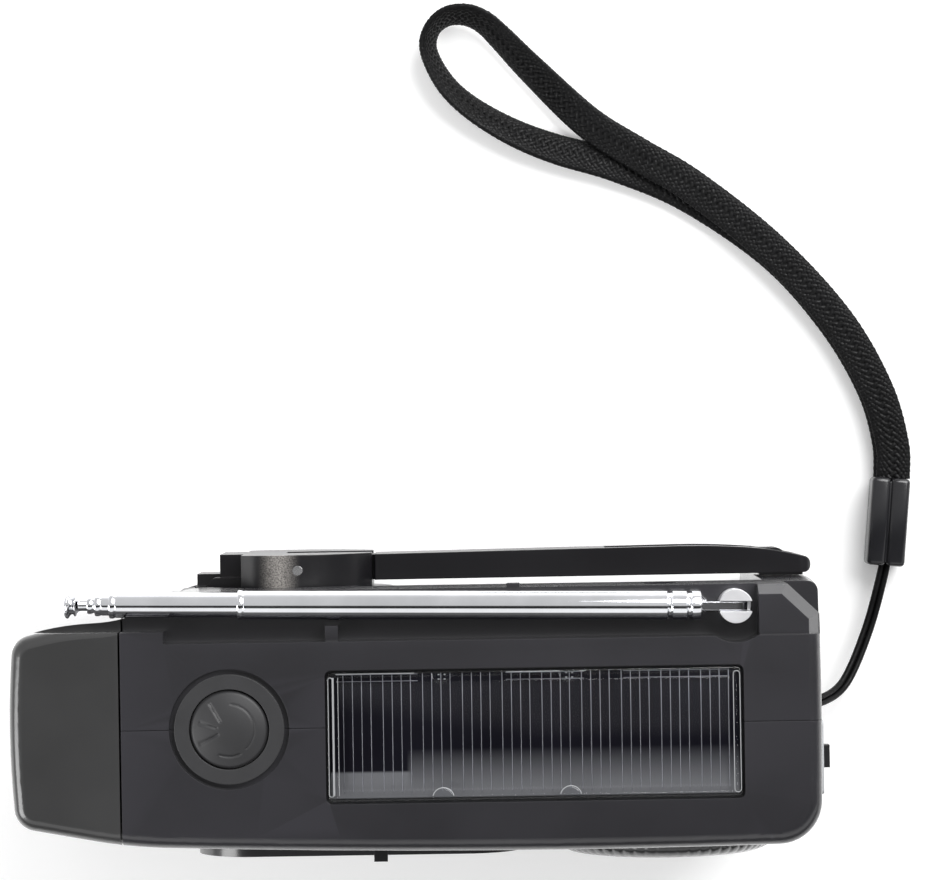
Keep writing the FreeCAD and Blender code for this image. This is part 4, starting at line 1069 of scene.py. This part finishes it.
def cord_eye():
    """Ring of cord round the strap post."""
    low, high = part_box("strap_post")
    post = (low + high) / 2
    height = 0.014
    eye_radius = 1.95 * MM
    cord_radius = 0.75 * MM
    around = 48
    sides = 12
    verts = []
    faces = []
    for i in range(around):
        a = 2 * math.pi * i / around
        j = (i + 1) % around
        for k in range(sides):
            b = 2 * math.pi * k / sides
            n = (k + 1) % sides
            r = eye_radius + cord_radius * math.cos(b)
            verts.append(Vector((post.x + r * math.cos(a), post.y + r * math.sin(a),
                                 height + cord_radius * math.sin(b))))
            faces.append((i * sides + k, j * sides + k, j * sides + n, i * sides + n))
    return verts, faces


def build_clamp():
    """Glossy two-half clamp with a centre split and rounded shoulders."""
    low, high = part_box("strap_clamp")
    centre = (low + high) / 2
    tilt = Matrix.Rotation(math.radians(-5), 4, "Z")
    half_x = 0.0032
    half_y = 0.0074
    split = 0.00008
    bottom = low.z - centre.z
    top = high.z - centre.z
    parts = []
    for x0, x1 in ((-half_x, -split), (split, half_x)):
        parts.append(rounded_bar(x0, x1, -half_y, half_y, bottom, top, 0.0007))
    parts.append(rounded_bar(-0.0004, 0.0004, -half_y + 0.0006, half_y - 0.0006,
                             bottom + 0.0005, top - 0.0005, 0.0001))
    verts, faces = merge(parts)
    verts = [centre + (tilt @ v) for v in verts]
    obj = mesh_object("strap_clamp_halves", verts, faces, GLOSS, 40)
    finish_piece(obj, "strap", "clamp_plastic", "strap_clamp")


# ---- stage ----------------------------------------------------------------------------------

def area_light(name, where, target, size, power):
    """White rectangular light aimed at a point; power in watts."""
    light = bpy.data.lights.new(name, "AREA")
    light.shape = "RECTANGLE"
    light.size, light.size_y = size
    light.energy = power
    obj = bpy.data.objects.new(name, light)
    obj.location = where
    aim = Vector(target) - Vector(where)
    obj.rotation_euler = aim.to_track_quat("-Z", "Y").to_euler()
    bpy.context.scene.collection.objects.link(obj)


def studio_world():
    """Pale room behind, dark stretch overhead, bright window in front, white near the ground."""
    world = bpy.data.worlds.new("studio")
    world.use_nodes = True
    tree = world.node_tree
    coords = tree.nodes.new("ShaderNodeTexCoord")
    split = tree.nodes.new("ShaderNodeSeparateXYZ")
    tree.links.new(coords.outputs["Generated"], split.inputs["Vector"])
    tilt = tree.nodes.new("ShaderNodeMath")
    tilt.operation = "ARCTAN2"
    tree.links.new(split.outputs["Y"], tilt.inputs[0])
    tree.links.new(split.outputs["Z"], tilt.inputs[1])
    turned = node(tree, "ShaderNodeMapRange", From_Min=-math.pi, From_Max=math.pi, To_Min=0.0,
                  To_Max=1.0)
    tree.links.new(tilt.outputs["Value"], turned.inputs["Value"])
    bands = tree.nodes.new("ShaderNodeValToRGB")
    bands.color_ramp.interpolation = "LINEAR"
    # Each stop is an angle from straight up, in degrees towards the back, and a brightness.
    stops = ((-180, 0.9), (-92, 0.9), (-84, 0.16), (-60, 0.1), (-53, 1.0), (-25, 1.0), (-20, 0.03),
             (-3, 0.03), (2, 0.62), (70, 0.66), (88, 0.85), (180, 0.85))
    elements = bands.color_ramp.elements
    while len(elements) < len(stops):
        elements.new(0.5)
    for element, (degrees, level) in zip(elements, stops):
        element.position = (degrees + 180) / 360
        element.color = (level, level, level, 1)
    tree.links.new(turned.outputs["Result"], bands.inputs["Fac"])
    background = tree.nodes["Background"]
    tree.links.new(bands.outputs["Color"], background.inputs["Color"])
    background.inputs["Strength"].default_value = 1.0
    bpy.context.scene.world = world


def build_stage():
    """Floor at the model's lowest point, the surroundings and two lights."""
    low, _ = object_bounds()
    size = 3.0
    verts = [(-size, -size, low.z), (size, -size, low.z), (size, size, low.z), (-size, size, low.z)]
    floor = mesh_object("floor", verts, [(0, 1, 2, 3)], seamless_floor("floor_pale"))
    studio_world()
    area_light("key", (0.5, 0.7, 0.8), (0.01, 0.03, 0.03), (0.8, 0.8), 16.0)
    area_light("left", (-0.42, -0.12, 0.34), (0.0, 0.0, 0.05), (0.25, 0.3), 1.6)


CAMERA_X = 0.00826
CAMERA_Y = 0.04367
CAMERA_HEIGHT = 0.608
# Width of table that the picture spans, and the camera's turn in degrees.
FIELD_WIDTH = 0.1574576
ROLL = 0.9


def build_camera():
    """Looks straight down from above the table, turned a little about its own axis."""
    camera = bpy.data.cameras.new("camera")
    camera.sensor_width = 36
    camera.lens = 36 * CAMERA_HEIGHT / FIELD_WIDTH
    camera.clip_start = 0.01
    obj = bpy.data.objects.new("camera", camera)
    obj.location = (CAMERA_X, CAMERA_Y, CAMERA_HEIGHT)
    obj.rotation_euler = (0, 0, math.radians(-ROLL))
    bpy.context.scene.collection.objects.link(obj)
    bpy.context.scene.camera = obj


dress_nodes()
build_antenna()
build_button()
build_solar()
build_lamp()
build_dial()
build_grip()
build_webbing()
build_cord()
build_clamp()
build_stage()
build_camera()
bpy.context.scene.view_settings.view_transform = "Standard"
